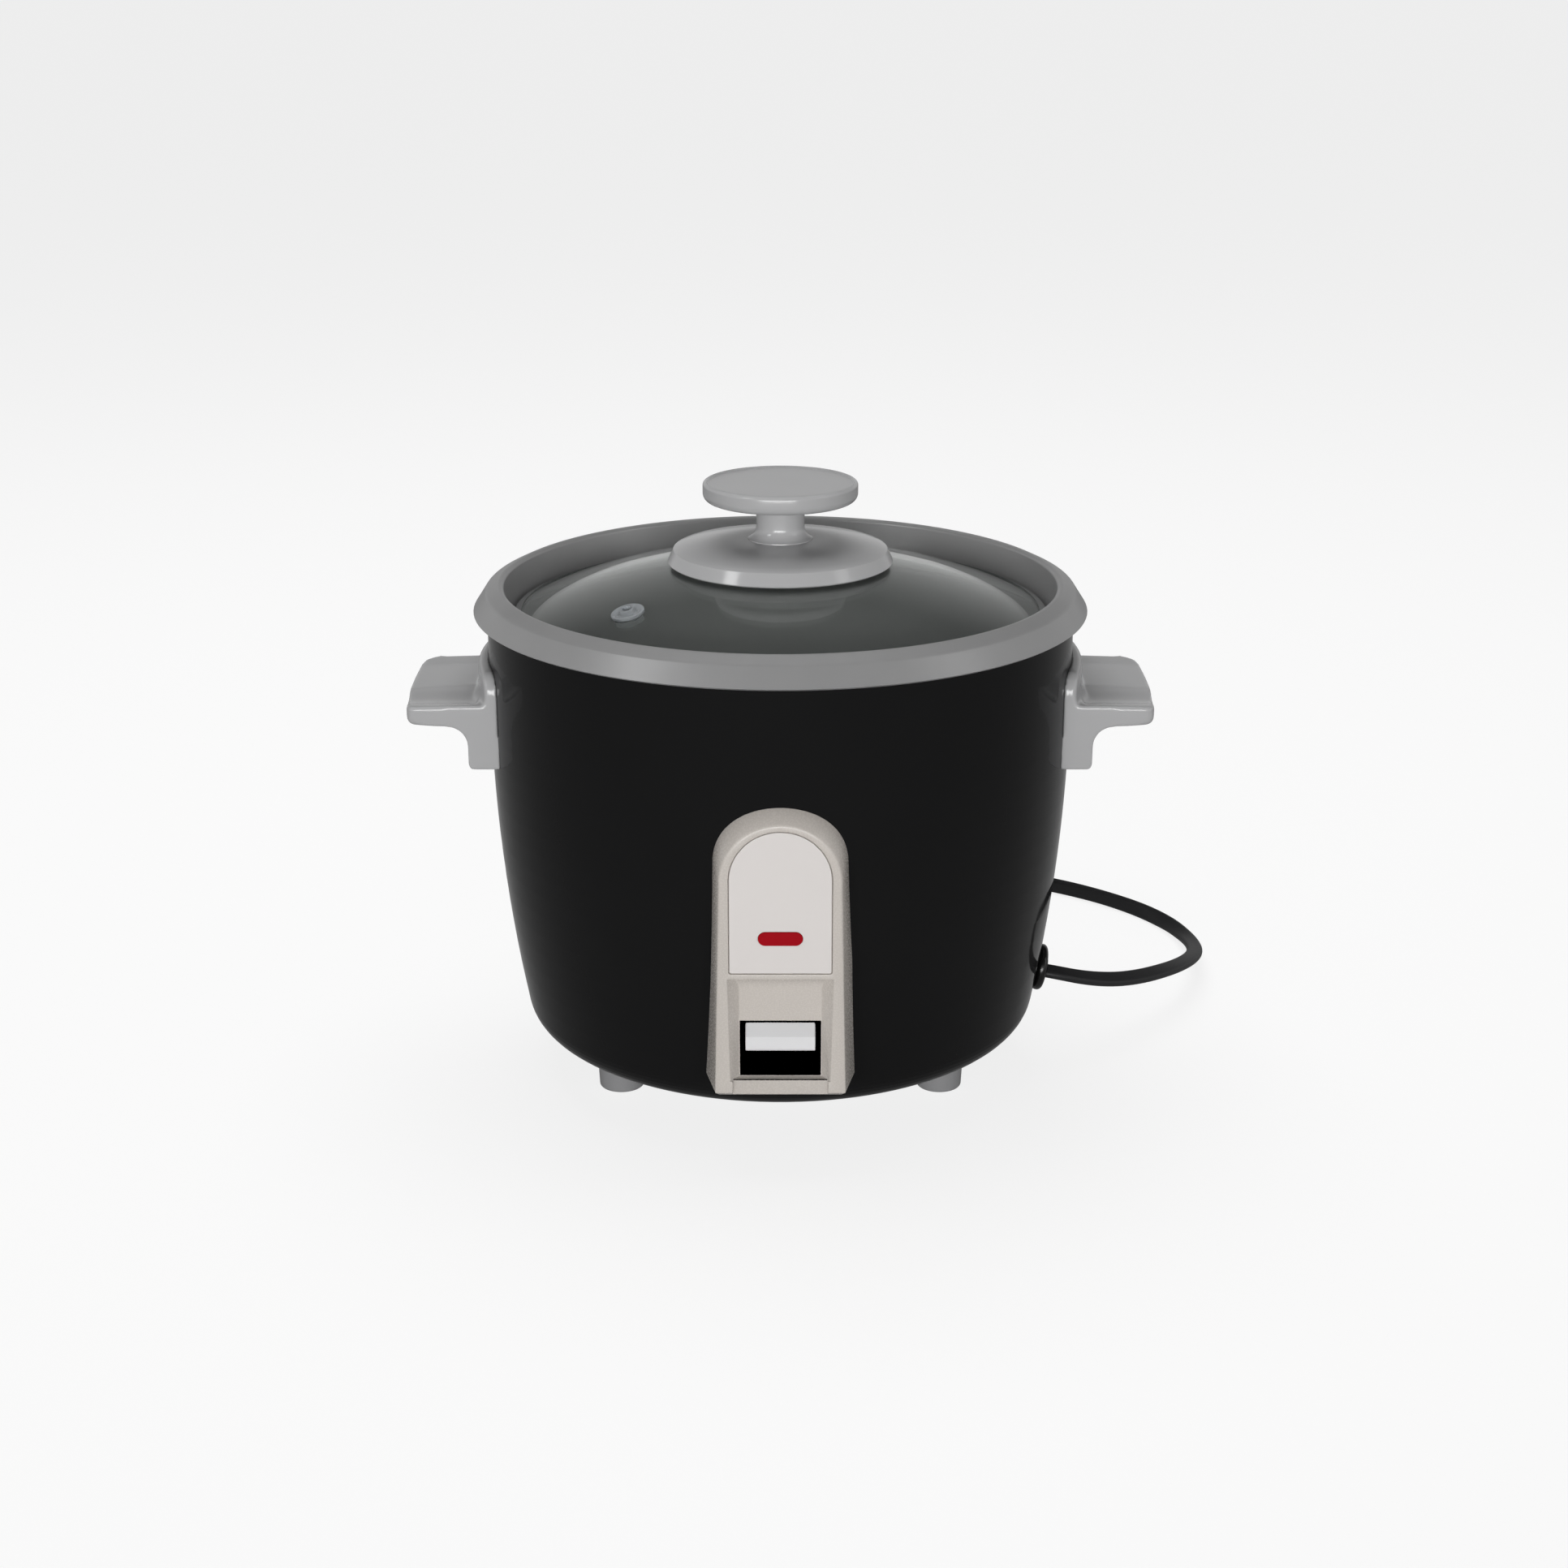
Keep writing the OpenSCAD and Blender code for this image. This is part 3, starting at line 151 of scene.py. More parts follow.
# Stops in x, y and z, and the cord's twist in degrees: 0 lies flat and 90 stands on edge
out_of_body = [
    (104.4, 0, 39.3, -10), (114, 0, 37.7, -14), (124, 0.3, 35.6, -20), (134, 3.4, 32.4, -26),
    (144, 8.6, 29.2, -30), (154, 15, 26.6, -30), (164.5, 24, 24.2, -28), (175, 35.5, 21.8, -24),
    (184.5, 49, 19, -18), (192.5, 65, 15.6, -12), (198, 83, 11.6, -6), (200.5, 102, 7.6, 0),
    (199.5, 121, 4.8, 14), (194, 140, 3.8, 40), (183, 158, 3.8, 72), (168, 174, 4, 90), (151, 188, 4, 90),
    (132, 200, 4, 90), (113, 210.5, 4, 90), (98, 217, 4, 90), (86, 220.6, 4, 90),
]
to_the_plug = [
    (40, 221.8, 11.6, 90), (29, 221.2, 10.6, 78), (18, 220.2, 8.8, 50), (8, 219.2, 7.2, 20),
    (0, 218.4, 6.6, 0), (-6, 217.8, 6.5, 0),
]
coil_x, coil_y, coil_starts, coil_ends = 62, 180, 59.4, 837.8
coil_radius = [(coil_starts, 46.8), (115, 42), (640, 42), (728, 47.2)]
coil_height = [(357, 4), (421, 11.6)]


def between(table, x):
    """Smooth value at x in a table of (x, value)"""
    for (x0, v0), (x1, v1) in zip(table, table[1:]):
        if x <= x1:
            t = max(0, (x - x0) / (x1 - x0))
            return v0 + (v1 - v0) * t * t * (3 - 2 * t)
    return table[-1][1]


coil = []
turn_step, least_step = 12, 8
turn = coil_starts + turn_step
while turn < coil_ends - least_step:
    reach = between(coil_radius, turn)
    coil.append((coil_x + reach * math.cos(math.radians(turn)), coil_y + reach * math.sin(math.radians(turn)),
                 between(coil_height, turn), 90))
    turn += turn_step
stops = out_of_body + coil + to_the_plug
route = []
for i in range(len(stops) - 1):
    p, q, r, s = (Vector(stops[min(max(k, 0), len(stops) - 1)]) for k in (i - 1, i, i + 1, i + 2))
    for t in (0, 0.25, 0.5, 0.75):
        route.append(0.5 * (2 * q + (r - p) * t + (2 * p - 5 * q + 4 * r - s) * t * t
                            + (3 * q - p - 3 * r + s) * t ** 3))
route.append(Vector(stops[-1]))

outline = []
around = 32
for k in range(around):
    x = cord_thick / 2 * math.cos(math.tau * k / around)
    y = cord_thick / 2 * math.sin(math.tau * k / around)
    if abs(x) < 1e-9:
        outline.append((0, y * (1 - valley_depth)))
    else:
        outline.append((x + math.copysign((cord_width - cord_thick) / 2, x), y))
skin = []
for i, stop in enumerate(route):
    along = (route[min(i + 1, len(route) - 1)] - route[max(i - 1, 0)]).xyz.normalized()
    side = along.cross(Vector((0, 0, 1))).normalized()
    wide = math.cos(math.radians(stop.w)) * side + math.sin(math.radians(stop.w)) * side.cross(along)
    skin += [(stop.xyz + x * wide + y * along.cross(wide)) * mm for x, y in outline]
tube = bpy.data.meshes.new("mains_cord")
tube.from_pydata(skin, [], [(i * around + k, i * around + (k + 1) % around,
                             (i + 1) * around + (k + 1) % around, (i + 1) * around + k)
                            for i in range(len(route) - 1) for k in range(around)]
                 + [tuple(range(around))[::-1], tuple(range(len(skin) - around, len(skin)))])
mains_cord = bpy.data.objects.new("mains_cord", tube)
bpy.context.collection.objects.link(mains_cord)
tube.shade_smooth()

# Unevenness that every finish has: soft clouds for its colour, a fine grain for its gloss and relief
surface = bpy.data.node_groups.new("uneven surface", "ShaderNodeTree")
for label in ("Cloud scale", "Grain scale"):
    surface.interface.new_socket(label, in_out="INPUT", socket_type="NodeSocketFloat")
for label in ("Cloud", "Grain"):
    surface.interface.new_socket(label, in_out="OUTPUT", socket_type="NodeSocketFloat")
inside = surface.nodes.new("NodeGroupInput")
outside = surface.nodes.new("NodeGroupOutput")
spot = surface.nodes.new("ShaderNodeTexCoord")
for label, detail in (("Cloud", 2), ("Grain", 4)):
    noise = surface.nodes.new("ShaderNodeTexNoise")
    noise.inputs["Detail"].default_value = detail
    surface.links.new(spot.outputs["Object"], noise.inputs["Vector"])
    surface.links.new(inside.outputs[f"{label} scale"], noise.inputs["Scale"])
    surface.links.new(noise.outputs[0], outside.inputs[label])


def finish(name, colour, rough, spread=0.06, cloud=30, grain=1500, relief=0.04, **constants):
    """A material of one colour, a range of roughness, and a relief in hundredths of a millimetre"""
    material = bpy.data.materials.new(name)
    material.use_nodes = True
    tree = material.node_tree
    shader = tree.nodes["Principled BSDF"].inputs
    uneven = tree.nodes.new("ShaderNodeGroup")
    uneven.node_tree = surface
    uneven.inputs["Cloud scale"].default_value = cloud
    uneven.inputs["Grain scale"].default_value = grain
    tone = tree.nodes.new("ShaderNodeMix")
    tone.data_type = "RGBA"
    tone.inputs["A"].default_value = [c * (1 - spread) for c in colour] + [1]
    tone.inputs["B"].default_value = [min(1, c * (1 + spread)) for c in colour] + [1]
    bump = tree.nodes.new("ShaderNodeBump")
    bump.inputs["Strength"].default_value = 0.6
    bump.inputs["Distance"].default_value = relief / 100 * mm
    tree.links.new(uneven.outputs["Cloud"], tone.inputs["Factor"])
    tree.links.new(tone.outputs["Result"], shader["Base Color"])
    tree.links.new(ramp(tree, uneven.outputs["Grain"], 0.3, 0.7, *rough), shader["Roughness"])
    tree.links.new(uneven.outputs["Grain"], bump.inputs["Height"])
    tree.links.new(bump.outputs["Normal"], shader["Normal"])
    for label, value in constants.items():
        shader[label.replace("_", " ")].default_value = value
    return material


def dress(material, *pieces):
    """Gives CAD parts, by name, or new pieces their material"""
    for piece in [part[p] if isinstance(p, str) else p for p in pieces]:
        piece.data.materials.clear()
        piece.data.materials.append(material)


def stands_for(piece, body, slot, *nodes):
    """Puts a new piece in the place of CAD parts, which it hides, on their body; the slot is not used"""
    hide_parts(*nodes)
    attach(piece, body)


soft_pvc = finish("soft black PVC", (0.016, 0.016, 0.017), (0.38, 0.5), grain=2500, Specular_IOR_Level=0.35)
dress(soft_pvc, mains_cord)
stands_for(mains_cord, "base", "cord_black", "power_cord", "cord_coil")

# ---- Plug ----
# Two flat brass blades moulded into a tapered body of the same soft PVC as the cord, which runs
# into the body's thin end.
dress(soft_pvc, "plug_body")
dress(finish("plain brass", (0.70, 0.55, 0.26), (0.25, 0.4), Metallic=1), "plug_blades")


# ---- Cord bushing ----
# Black rubber grommet pushed through the shell: a domed flange outside with the cord coming
# straight out of it, and a lip behind the sheet that holds it in its hole.
def solid(shape, name, low, high, **settings):
    """A primitive that fills a box"""
    bpy.ops.object.select_all(action="DESELECT")
    getattr(bpy.ops.mesh, f"primitive_{shape}_add")(**settings)
    piece = bpy.context.object
    piece.name = piece.data.name = name
    bpy.ops.object.transform_apply()
    piece.scale = (Vector(high) - Vector(low)) / 2 * mm
    piece.location = (Vector(low) + Vector(high)) / 2 * mm
    bpy.ops.object.transform_apply()
    return piece


def pick(piece, kind, test, along=None):
    """Selects, in edit mode, what has its middle (x, y, z) where the test says"""
    bpy.context.view_layer.objects.active = piece
    bpy.ops.object.mode_set(mode="EDIT")
    bpy.ops.mesh.select_mode(type=kind)
    bpy.ops.mesh.select_all(action="DESELECT")
    net = bmesh.from_edit_mesh(piece.data)
    for item in {"VERT": net.verts, "EDGE": net.edges, "FACE": net.faces}[kind]:
        points = [item.co] if kind == "VERT" else [v.co for v in item.verts]
        run = points[-1] - points[0]
        straight = along is None or abs(run[along]) > 0.999 * run.length
        item.select = straight and test(*(sum(points, Vector()) / len(points) / mm))
    net.select_flush_mode()
    bmesh.update_edit_mesh(piece.data)


def pull(piece, test, move, size=(1, 1, 1)):
    """Extrudes the faces where the test says, and resizes their far end about the part's axis"""
    pick(piece, "FACE", test)
    bpy.ops.mesh.extrude_region_move(TRANSFORM_OT_translate={"value": Vector(move) * mm})
    bpy.ops.transform.resize(value=size, center_override=(0, 0, 0))
    bpy.ops.object.mode_set(mode="OBJECT")


def round_off(piece, radius, steps, test, along=None):
    """Bevels the edges where the test says"""
    pick(piece, "EDGE", test, along)
    bpy.ops.mesh.bevel(offset=radius * mm, segments=steps, affect="EDGES")
    bpy.ops.object.mode_set(mode="OBJECT")


def select(piece):
    """Makes a piece the only one that is selected"""
    bpy.ops.object.select_all(action="DESELECT")
    bpy.context.view_layer.objects.active = piece
    piece.select_set(True)


def smooth(piece, degrees):
    """Smooth shading, with every edge sharper than the angle left crisp"""
    select(piece)
    bpy.ops.object.shade_smooth_by_angle(angle=math.radians(degrees))


def place(piece, spot, tilt, turn=0):
    """Sets a piece made about the Z axis in its place, tilted and then turned"""
    select(piece)
    piece.rotation_euler = (0, tilt, turn)
    piece.location = spot
    bpy.ops.object.transform_apply()


def node_box(name):
    """Lowest and highest corner of a CAD part, in millimetres"""
    return [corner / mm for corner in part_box(name)]


low, high = node_box("cord_bushing")
flange_r, flange_front, shell_draft = 10.3, 4.6, 10.2
bushing = solid("cylinder", "bushing", (-flange_r, -flange_r, 0.1), (flange_r, flange_r, flange_front),
                vertices=64)
round_off(bushing, 2.1, 7, lambda x, y, z: z > flange_front - 0.1 or z < 0.2)
pull(bushing, lambda x, y, z: z > flange_front - 0.05, (0, 0, 0.2), (0.66, 0.66, 1))
pull(bushing, lambda x, y, z: z > flange_front + 0.15, (0, 0, 0.6), (0.86, 0.86, 1))
pull(bushing, lambda x, y, z: z < 0.11, (0, 0, -0.05), (0.79, 0.79, 1))
pull(bushing, lambda x, y, z: z < 0.06, (0, 0, -1.8))
pull(bushing, lambda x, y, z: z < -1.7, (0, 0, -0.05), (1.18, 1.18, 1))
pull(bushing, lambda x, y, z: z < -1.79, (0, 0, -6.8), (0.86, 0.86, 1))
bushing.data.shade_smooth()
smooth(bushing, 40)
place(bushing, Vector((high.x - 11.6, 0, (low.z + high.z) / 2 + 0.3)) * mm, math.radians(90 + shell_draft))
stands_for(bushing, "base", "cord_black", "cord_bushing")
dress(finish("glossy black rubber", (0.005, 0.005, 0.005), (0.18, 0.25), grain=2500), bushing)

# ---- Body shell ----
# Deep-drawn sheet steel, a millimetre thick, stove-enamelled in a smooth satin black. It carries
# everything else, and its upper edge is turned inwards to a narrow lip.
dress(finish("satin black enamel", (0.008, 0.008, 0.0082), (0.07, 0.1), grain=900, relief=0.02,
             Specular_IOR_Level=0.1), "outer_body")

# ---- Feet ----
# Three grey moulded plastic feet, two in front and one behind. Each is held up against the flat
# ring in the shell's underside by a screw from below.
dress(finish("grey foot plastic", (0.26, 0.26, 0.265), (0.35, 0.45)), "foot_left", "foot_right", "foot_rear")

# ---- Bottom cover, screws, bracket and springs ----
# Pressed, turned and wound steel, all of it bright zinc-plated. The slotted cover closes the shell's
# underside. The switch bracket and the sensor's guide are fixed under the heating chamber's floor
# and carry the lever and the plunger. One spring pushes the plunger down, one the sensor's cap up.
dress(finish("bright zinc plating", (0.62, 0.63, 0.64), (0.3, 0.45), spread=0.1, cloud=120, Metallic=1),
      "bottom_cover", "cover_screws", "foot_screws", "heater_screws", "guide_screws", "handle_screws",
      "panel_screws", "sensor_guide", "switch_bracket", "pivot_pin", "lever_arm", "plunger_rod",
      "sensor_spring", "release_spring", "knob_screw")

# ---- Heating chamber and heater ----
# A plain steel shell that the pan sits in. A cast aluminium plate is screwed to its floor, with the
# element's steel tube pressed in underneath, and the sensor's cap, ferrite and magnet in the middle.
# The tube's ends, the thermal fuse and the terminal block are insulated with steatite.
dress(finish("dull chamber steel", (0.5, 0.5, 0.51), (0.4, 0.55), spread=0.12, Metallic=1), "heating_chamber")
dress(finish("cast aluminium", (0.6, 0.6, 0.61), (0.35, 0.5), spread=0.1, Metallic=1),
      "heater_plate", "sensor_cap")
dress(finish("oxidised steel tube", (0.3, 0.29, 0.28), (0.45, 0.6), spread=0.2, Metallic=1),
      "heating_element")
dress(finish("dark ferrite", (0.06, 0.06, 0.062), (0.5, 0.65), spread=0.15), "ferrite_disc", "lift_magnet")
dress(finish("steatite", (0.76, 0.73, 0.66), (0.4, 0.55)),
      "element_terminals", "thermal_fuse", "terminal_block")

# ---- Wiring and microswitch ----
# Silicone-covered wires to the heater and grey leads to the lamp. The black microswitch sits between
# the switch bracket's cheeks, with its red button under the lever.
dress(finish("red silicone wire", (0.28, 0.04, 0.03), (0.45, 0.6)), "internal_wires")
dress(finish("grey wire", (0.2, 0.2, 0.21), (0.45, 0.6)), "lamp_leads")
dress(finish("black switch moulding", (0.025, 0.025, 0.026), (0.4, 0.5)), "microswitch")
dress(finish("red switch button", (0.45, 0.05, 0.035), (0.35, 0.45)), "contact_plunger")

# ---- Pan ----
# Spun aluminium with a rolled rim, in an even satin grey. It stands loose on the heater plate, and
# its rim covers the shell's edge.
dress(finish("satin pan aluminium", (0.405, 0.405, 0.407), (0.34, 0.42), spread=0.05, cloud=60, grain=2600,
             relief=0.3, Metallic=0.45), "inner_pan")


# ---- Lid ----
# Tempered glass pressed to a shallow dome and tinted grey-green, with a hole in the middle for the
# knob's screw. A rolled band of polished steel is crimped round its edge.
def shift(piece, test, move=(0, 0, 0), size=(1, 1, 1), about=(0, 0, 0)):
    """Moves and then resizes the vertices where the test says"""
    pick(piece, "VERT", test)
    bpy.ops.transform.translate(value=Vector(move) * mm)
    bpy.ops.transform.resize(value=size, center_override=Vector(about) * mm)
    bpy.ops.object.mode_set(mode="OBJECT")


def turned(name, bottom, radius, *levels, sides=192):
    """A solid of revolution about the cooker's axis, from its lowest level up: (z, radius) each"""
    piece = solid("cylinder", name, (-radius, -radius, bottom), (radius, radius, levels[0][0]),
                  vertices=sides)
    shift(piece, lambda x, y, z: z > bottom + 0.01, size=(levels[0][1] / radius, levels[0][1] / radius, 1))
    for (z0, r0), (z1, r1) in zip(levels, levels[1:]):
        pull(piece, lambda x, y, z: z > z0 - 0.001, (0, 0, z1 - z0), (r1 / r0, r1 / r0, 1))
    return piece


def modify(piece, kind, **settings):
    """Adds a modifier and applies it"""
    step = piece.modifiers.new("step", kind)
    for label, value in settings.items():
        setattr(step, label, value)
    bpy.context.view_layer.objects.active = piece
    bpy.ops.object.modifier_apply(modifier="step")


def combine(piece, operation, *others):
    """Unites the piece with others, or cuts it by them"""
    for other in others:
        modify(piece, "BOOLEAN", object=other, operation=operation, solver="EXACT")
        bpy.data.objects.remove(other)


low, high = node_box("lid_glass")
dome_radius, glass_thick, inner_edge, screw_hole = 280, 4, 111, 3.2


def dome_levels(radius, edge, steps=24):
    """Levels up a dome about the lid's centre of curvature, from an edge radius to the middle"""
    full = math.asin(edge / radius)
    angles = [full * (1 - i / steps) for i in range(steps)] + [full * 0.02]
    return [(high.z - dome_radius + radius * math.cos(a), radius * math.sin(a)) for a in angles]


pane = turned("lid_pane", low.z, inner_edge + 0.6, *dome_levels(dome_radius, high.x))
below = turned("below", low.z - 2, inner_edge, *dome_levels(dome_radius - glass_thick, inner_edge))
hole = turned("hole", low.z, screw_hole, (high.z + 5, screw_hole), sides=64)
combine(pane, "DIFFERENCE", below, hole)
dress(finish("tinted glass", (0.77, 0.81, 0.785), (0.0, 0.02), spread=0.01, relief=0.0,
             Transmission_Weight=0.9, IOR=1.5), pane)
dress(finish("polished steel band", (0.66, 0.67, 0.67), (0.14, 0.22), Metallic=1), "lid_rim")

# ---- Steam vent ----
# Clear silicone grommet pressed into the lid: a flange with a raised collar above the glass, a neck
# through it, a smaller flange below, and an open bore for the steam.
low, high = node_box("vent_grommet")
middle = (low + high) / 2
flange_r, flange_top, neck_r, bore_r = 7, 1.3, 4.4, 2.2


def central(x, y):
    """Whether a place is close to the vent's axis"""
    return x * x + y * y < 1


vent = solid("cylinder", "vent", (-flange_r, -flange_r, 0.1), (flange_r, flange_r, flange_top), vertices=96)
round_off(vent, 0.5, 4, lambda x, y, z: z > flange_top - 0.1)
pull(vent, lambda x, y, z: z > flange_top - 0.01, (0, 0, -0.3), (0.8, 0.8, 1))
pull(vent, lambda x, y, z: abs(z - 1) < 0.01 and central(x, y), (0, 0, -0.1), (0.72, 0.72, 1))
pull(vent, lambda x, y, z: abs(z - 0.9) < 0.01 and central(x, y), (0, 0, 1.6), (0.9, 0.9, 1))
neck = turned("neck", -5.8, 6, (-4, 5.4), (-3.99, neck_r), (0.2, neck_r), sides=96)
combine(vent, "UNION", neck)
bore = turned("bore", -9, bore_r, (9, bore_r), sides=64)
combine(vent, "DIFFERENCE", bore)
drill = turned("drill", -9, neck_r + 0.2, (9, neck_r + 0.2), sides=64)
hit, square_to_glass = pane.ray_cast(Vector((middle.xy.length, 0, 300)) * mm, (0, 0, -1))[1:3]
turn = math.atan2(middle.y, middle.x)
for piece in (vent, drill):
    place(piece, (hit.x * math.cos(turn), hit.x * math.sin(turn), hit.z),
          math.atan2(square_to_glass.x, square_to_glass.z), turn)
combine(pane, "DIFFERENCE", drill)
smooth(pane, 30)
smooth(vent, 30)
stands_for(pane, "lid", "lid_glass", "lid_glass")
stands_for(vent, "lid", "clear_silicone", "vent_grommet")
clear = finish("clear silicone", (0.86, 0.9, 0.93), (0.08, 0.14), Transmission_Weight=0.7, IOR=1.41)
dress(clear, vent, "knob_washer")

# ---- Knob ----
# Glossy grey plastic in two mouldings: a base disc with a bevelled edge, on a soft washer on the
# glass, and a cap on a waisted stem, dished inside a thin rim. One screw from below holds both.
grey_plastic = finish("glossy grey plastic", (0.44, 0.44, 0.445), (0.16, 0.22), spread=0.03, Coat_Weight=0.3,
                      Coat_Roughness=0.08)


def arc(r, z, radius, start, end, steps):
    """Levels round a circle, for a turned solid"""
    angles = [math.radians(start + (end - start) * i / steps) for i in range(steps + 1)]
    return [(z + radius * math.sin(a), r + radius * math.cos(a)) for a in angles]


low, high = node_box("knob_base")
disc_r, disc_top, crown_r, spigot_r = 47.7, high.z, 44.7, 7
bevel_top, crown_low = low.z + 5.6, low.z + 6
crown = [(crown_low + (disc_top - crown_low) * math.sin(math.radians(90 * i / 8)), crown_r - 3.7 * i)
         for i in range(1, 9)]
disc = turned("knob_disc", low.z, disc_r - 0.6, (low.z + 0.6, disc_r), (bevel_top, disc_r - 2.4),
              (bevel_top + 0.3, crown_r), *crown)
boss = turned("boss", low.z - 1, 12, (disc_top, 12))
hollow = turned("hollow", low.z - 0.1, disc_r - 1.8, (low.z + 1.9, disc_r - 4), (low.z + 5, 12.5))
combine(hollow, "DIFFERENCE", boss)
washer_space = turned("washer space", low.z - 1, 20, (low.z + 3.4, 20))
hole = turned("hole", low.z - 1, spigot_r, (disc_top + 1, spigot_r))
combine(disc, "DIFFERENCE", hollow, washer_space, hole)

low, high = node_box("knob")
cap_low, spigot_r, screw_r, stem_r, cap_r = high.z - 8, spigot_r - 0.15, 2.2, 10.2, 32.7
cap = turned("knob_cap", low.z, spigot_r, (disc_top, spigot_r), (disc_top + 0.02, stem_r + 3.5),
             *arc(stem_r + 6, disc_top + 5.8, 6, 245, 180, 10),
             *arc(stem_r + 5, cap_low - 6, 5, 180, 100, 10),
             *arc(cap_r - 3.2, cap_low + 3.2, 3.2, -90, 0, 10),
             *arc(cap_r - 1.5, high.z - 1.5, 1.5, 0, 90, 6),
             (high.z - 0.02, cap_r - 2.5), (high.z - 0.9, cap_r - 3.1))
combine(cap, "DIFFERENCE", turned("bore", low.z - 1, screw_r, (low.z + 12, screw_r)))
for piece, node in ((disc, "knob_base"), (cap, "knob")):
    smooth(piece, 28)
    stands_for(piece, "lid", "grip_grey", node)
dress(grey_plastic, disc, cap)


# ---- Handles ----
# Two side grips moulded in grey plastic, each with a flange that hugs the shell and a thumb hollow
# behind its front lip. Each is screwed on from inside the shell, and one is the other's mirror image.
def split(piece, point, normal, keep_one_side=False):
    """Cuts the whole piece along a plane; what lies against the normal can be taken away"""
    pick(piece, "FACE", lambda x, y, z: True)
    bpy.ops.mesh.bisect(plane_co=Vector(point) * mm, plane_no=normal, use_fill=keep_one_side,
                        clear_inner=keep_one_side)
    bpy.ops.object.mode_set(mode="OBJECT")


def shell_radius(z):
    """Radius of the body shell at a height, clear of its openings"""
    hit = part["outer_body"].ray_cast(Vector((200, 200, z)) * mm, (-1, -1, 0))
    return hit[1].xy.length / mm


def body_form(gap):
    """The space that the body takes, grown by a gap"""
    levels = [(z, shell_radius(z) + gap) for z in (24, 27, 30, 34, 39, 46, 60, 80, 100, 120, 140, 160, 190)]
    return turned("body form", 22, shell_radius(22) + gap, *levels)


low, high = node_box("handle_right")
grip_bottom, grip_middle, grip_top, leg_x, outer_x = low.z + 18.6, 165, low.z + 27.7, 130.8, 150
flange_top, flange_inside, flange_outside = high.z - 1.6, 112, 140
grip = solid("cube", "grip_right", (flange_inside, low.y, grip_bottom), (high.x, high.y, grip_top))
split(grip, (leg_x, 0, 0), (1, 0, 0))
bow_cuts, bow_middle, bow_radius = (-33, -24, -14, -4, 6, 16, 26), 8, 440
for y in bow_cuts:
    split(grip, (0, y, 0), (0, 1, 0))
for y in (low.y, high.y) + bow_cuts:
    shift(grip, lambda px, py, pz: px > outer_x and abs(py - y) < 0.1,
          (-(y - bow_middle) ** 2 / (2 * bow_radius), 0, 0))
shift(grip, lambda x, y, z: x > outer_x and z > grip_middle, (0, 0, -0.4))
shift(grip, lambda x, y, z: x > outer_x and z < grip_middle, (0, 0, 0.6))
shift(grip, lambda x, y, z: x < outer_x and z > grip_middle, (0, 0, 0.4))
shift(grip, lambda x, y, z: y > 30 and z > grip_middle, (0, 0, 1))
pull(grip, lambda x, y, z: x < leg_x and z < grip_bottom + 0.1, (0, 0, low.z - grip_bottom))
round_off(grip, 8.5, 8, lambda x, y, z: abs(x - leg_x) < 0.1 and abs(z - grip_bottom) < 0.1, along=1)
round_off(grip, 2, 4, lambda x, y, z: abs(x - leg_x) < 0.1 and abs(z - low.z) < 0.1, along=1)
round_off(grip, 3, 4, lambda x, y, z: x > outer_x and y < low.y + 0.1, along=2)
round_off(grip, 10, 8, lambda x, y, z: x > outer_x and y > high.y - 0.1, along=2)
round_off(grip, 3, 5, lambda x, y, z: z < 163.4 and (x > 153 or x > 147.2 and y > 29.5))
round_off(grip, 3, 5, lambda x, y, z: y > high.y - 0.1 and z > grip_top - 1)

flange = turned("flange", 166, 134.4, (grip_top - 2.2, 134.4), (169.8, 132), (171, 130.4), (172.8, 129.3),
                (175.2, 128.8), (flange_top, 128.8))
round_off(flange, 2.4, 4, lambda x, y, z: z > flange_top - 0.1)
ends = solid("cube", "ends", (flange_inside, low.y, 150), (flange_outside, high.y, flange_top))
for side in (-1, 1):
    round_off(ends, 9, 8, lambda x, y, z: z > flange_top - 0.1 and y * side > 38, along=0)
combine(flange, "INTERSECT", ends)
hollow_r, hollow_y, hollow_low = 47.8, -22, grip_top - 1.8
hollow = solid("cylinder", "hollow", (127, hollow_y - hollow_r, hollow_low),
               (170, hollow_y + hollow_r, hollow_low + 2 * hollow_r), vertices=256,
               rotation=(0, math.pi / 2, 0))
combine(grip, "DIFFERENCE", hollow)
combine(grip, "UNION", flange)
combine(grip, "DIFFERENCE", body_form(-0.3))
modify(grip, "REMESH", mode="VOXEL", voxel_size=0.6 * mm)
modify(grip, "SMOOTH", factor=0.5, iterations=24)
grip.data.shade_smooth()
select(grip)
bpy.ops.object.duplicate()
other_grip = bpy.context.object
other_grip.name = other_grip.data.name = "grip_left"
bpy.ops.transform.resize(value=(-1, 1, 1), center_override=(0, 0, 0))
bpy.ops.object.transform_apply()
bpy.ops.object.mode_set(mode="EDIT")
bpy.ops.mesh.select_all(action="SELECT")
bpy.ops.mesh.normals_make_consistent()
bpy.ops.object.mode_set(mode="OBJECT")
stands_for(grip, "base", "grip_grey", "handle_right")
stands_for(other_grip, "base", "grip_grey", "handle_left")
dress(grey_plastic, grip, other_grip)


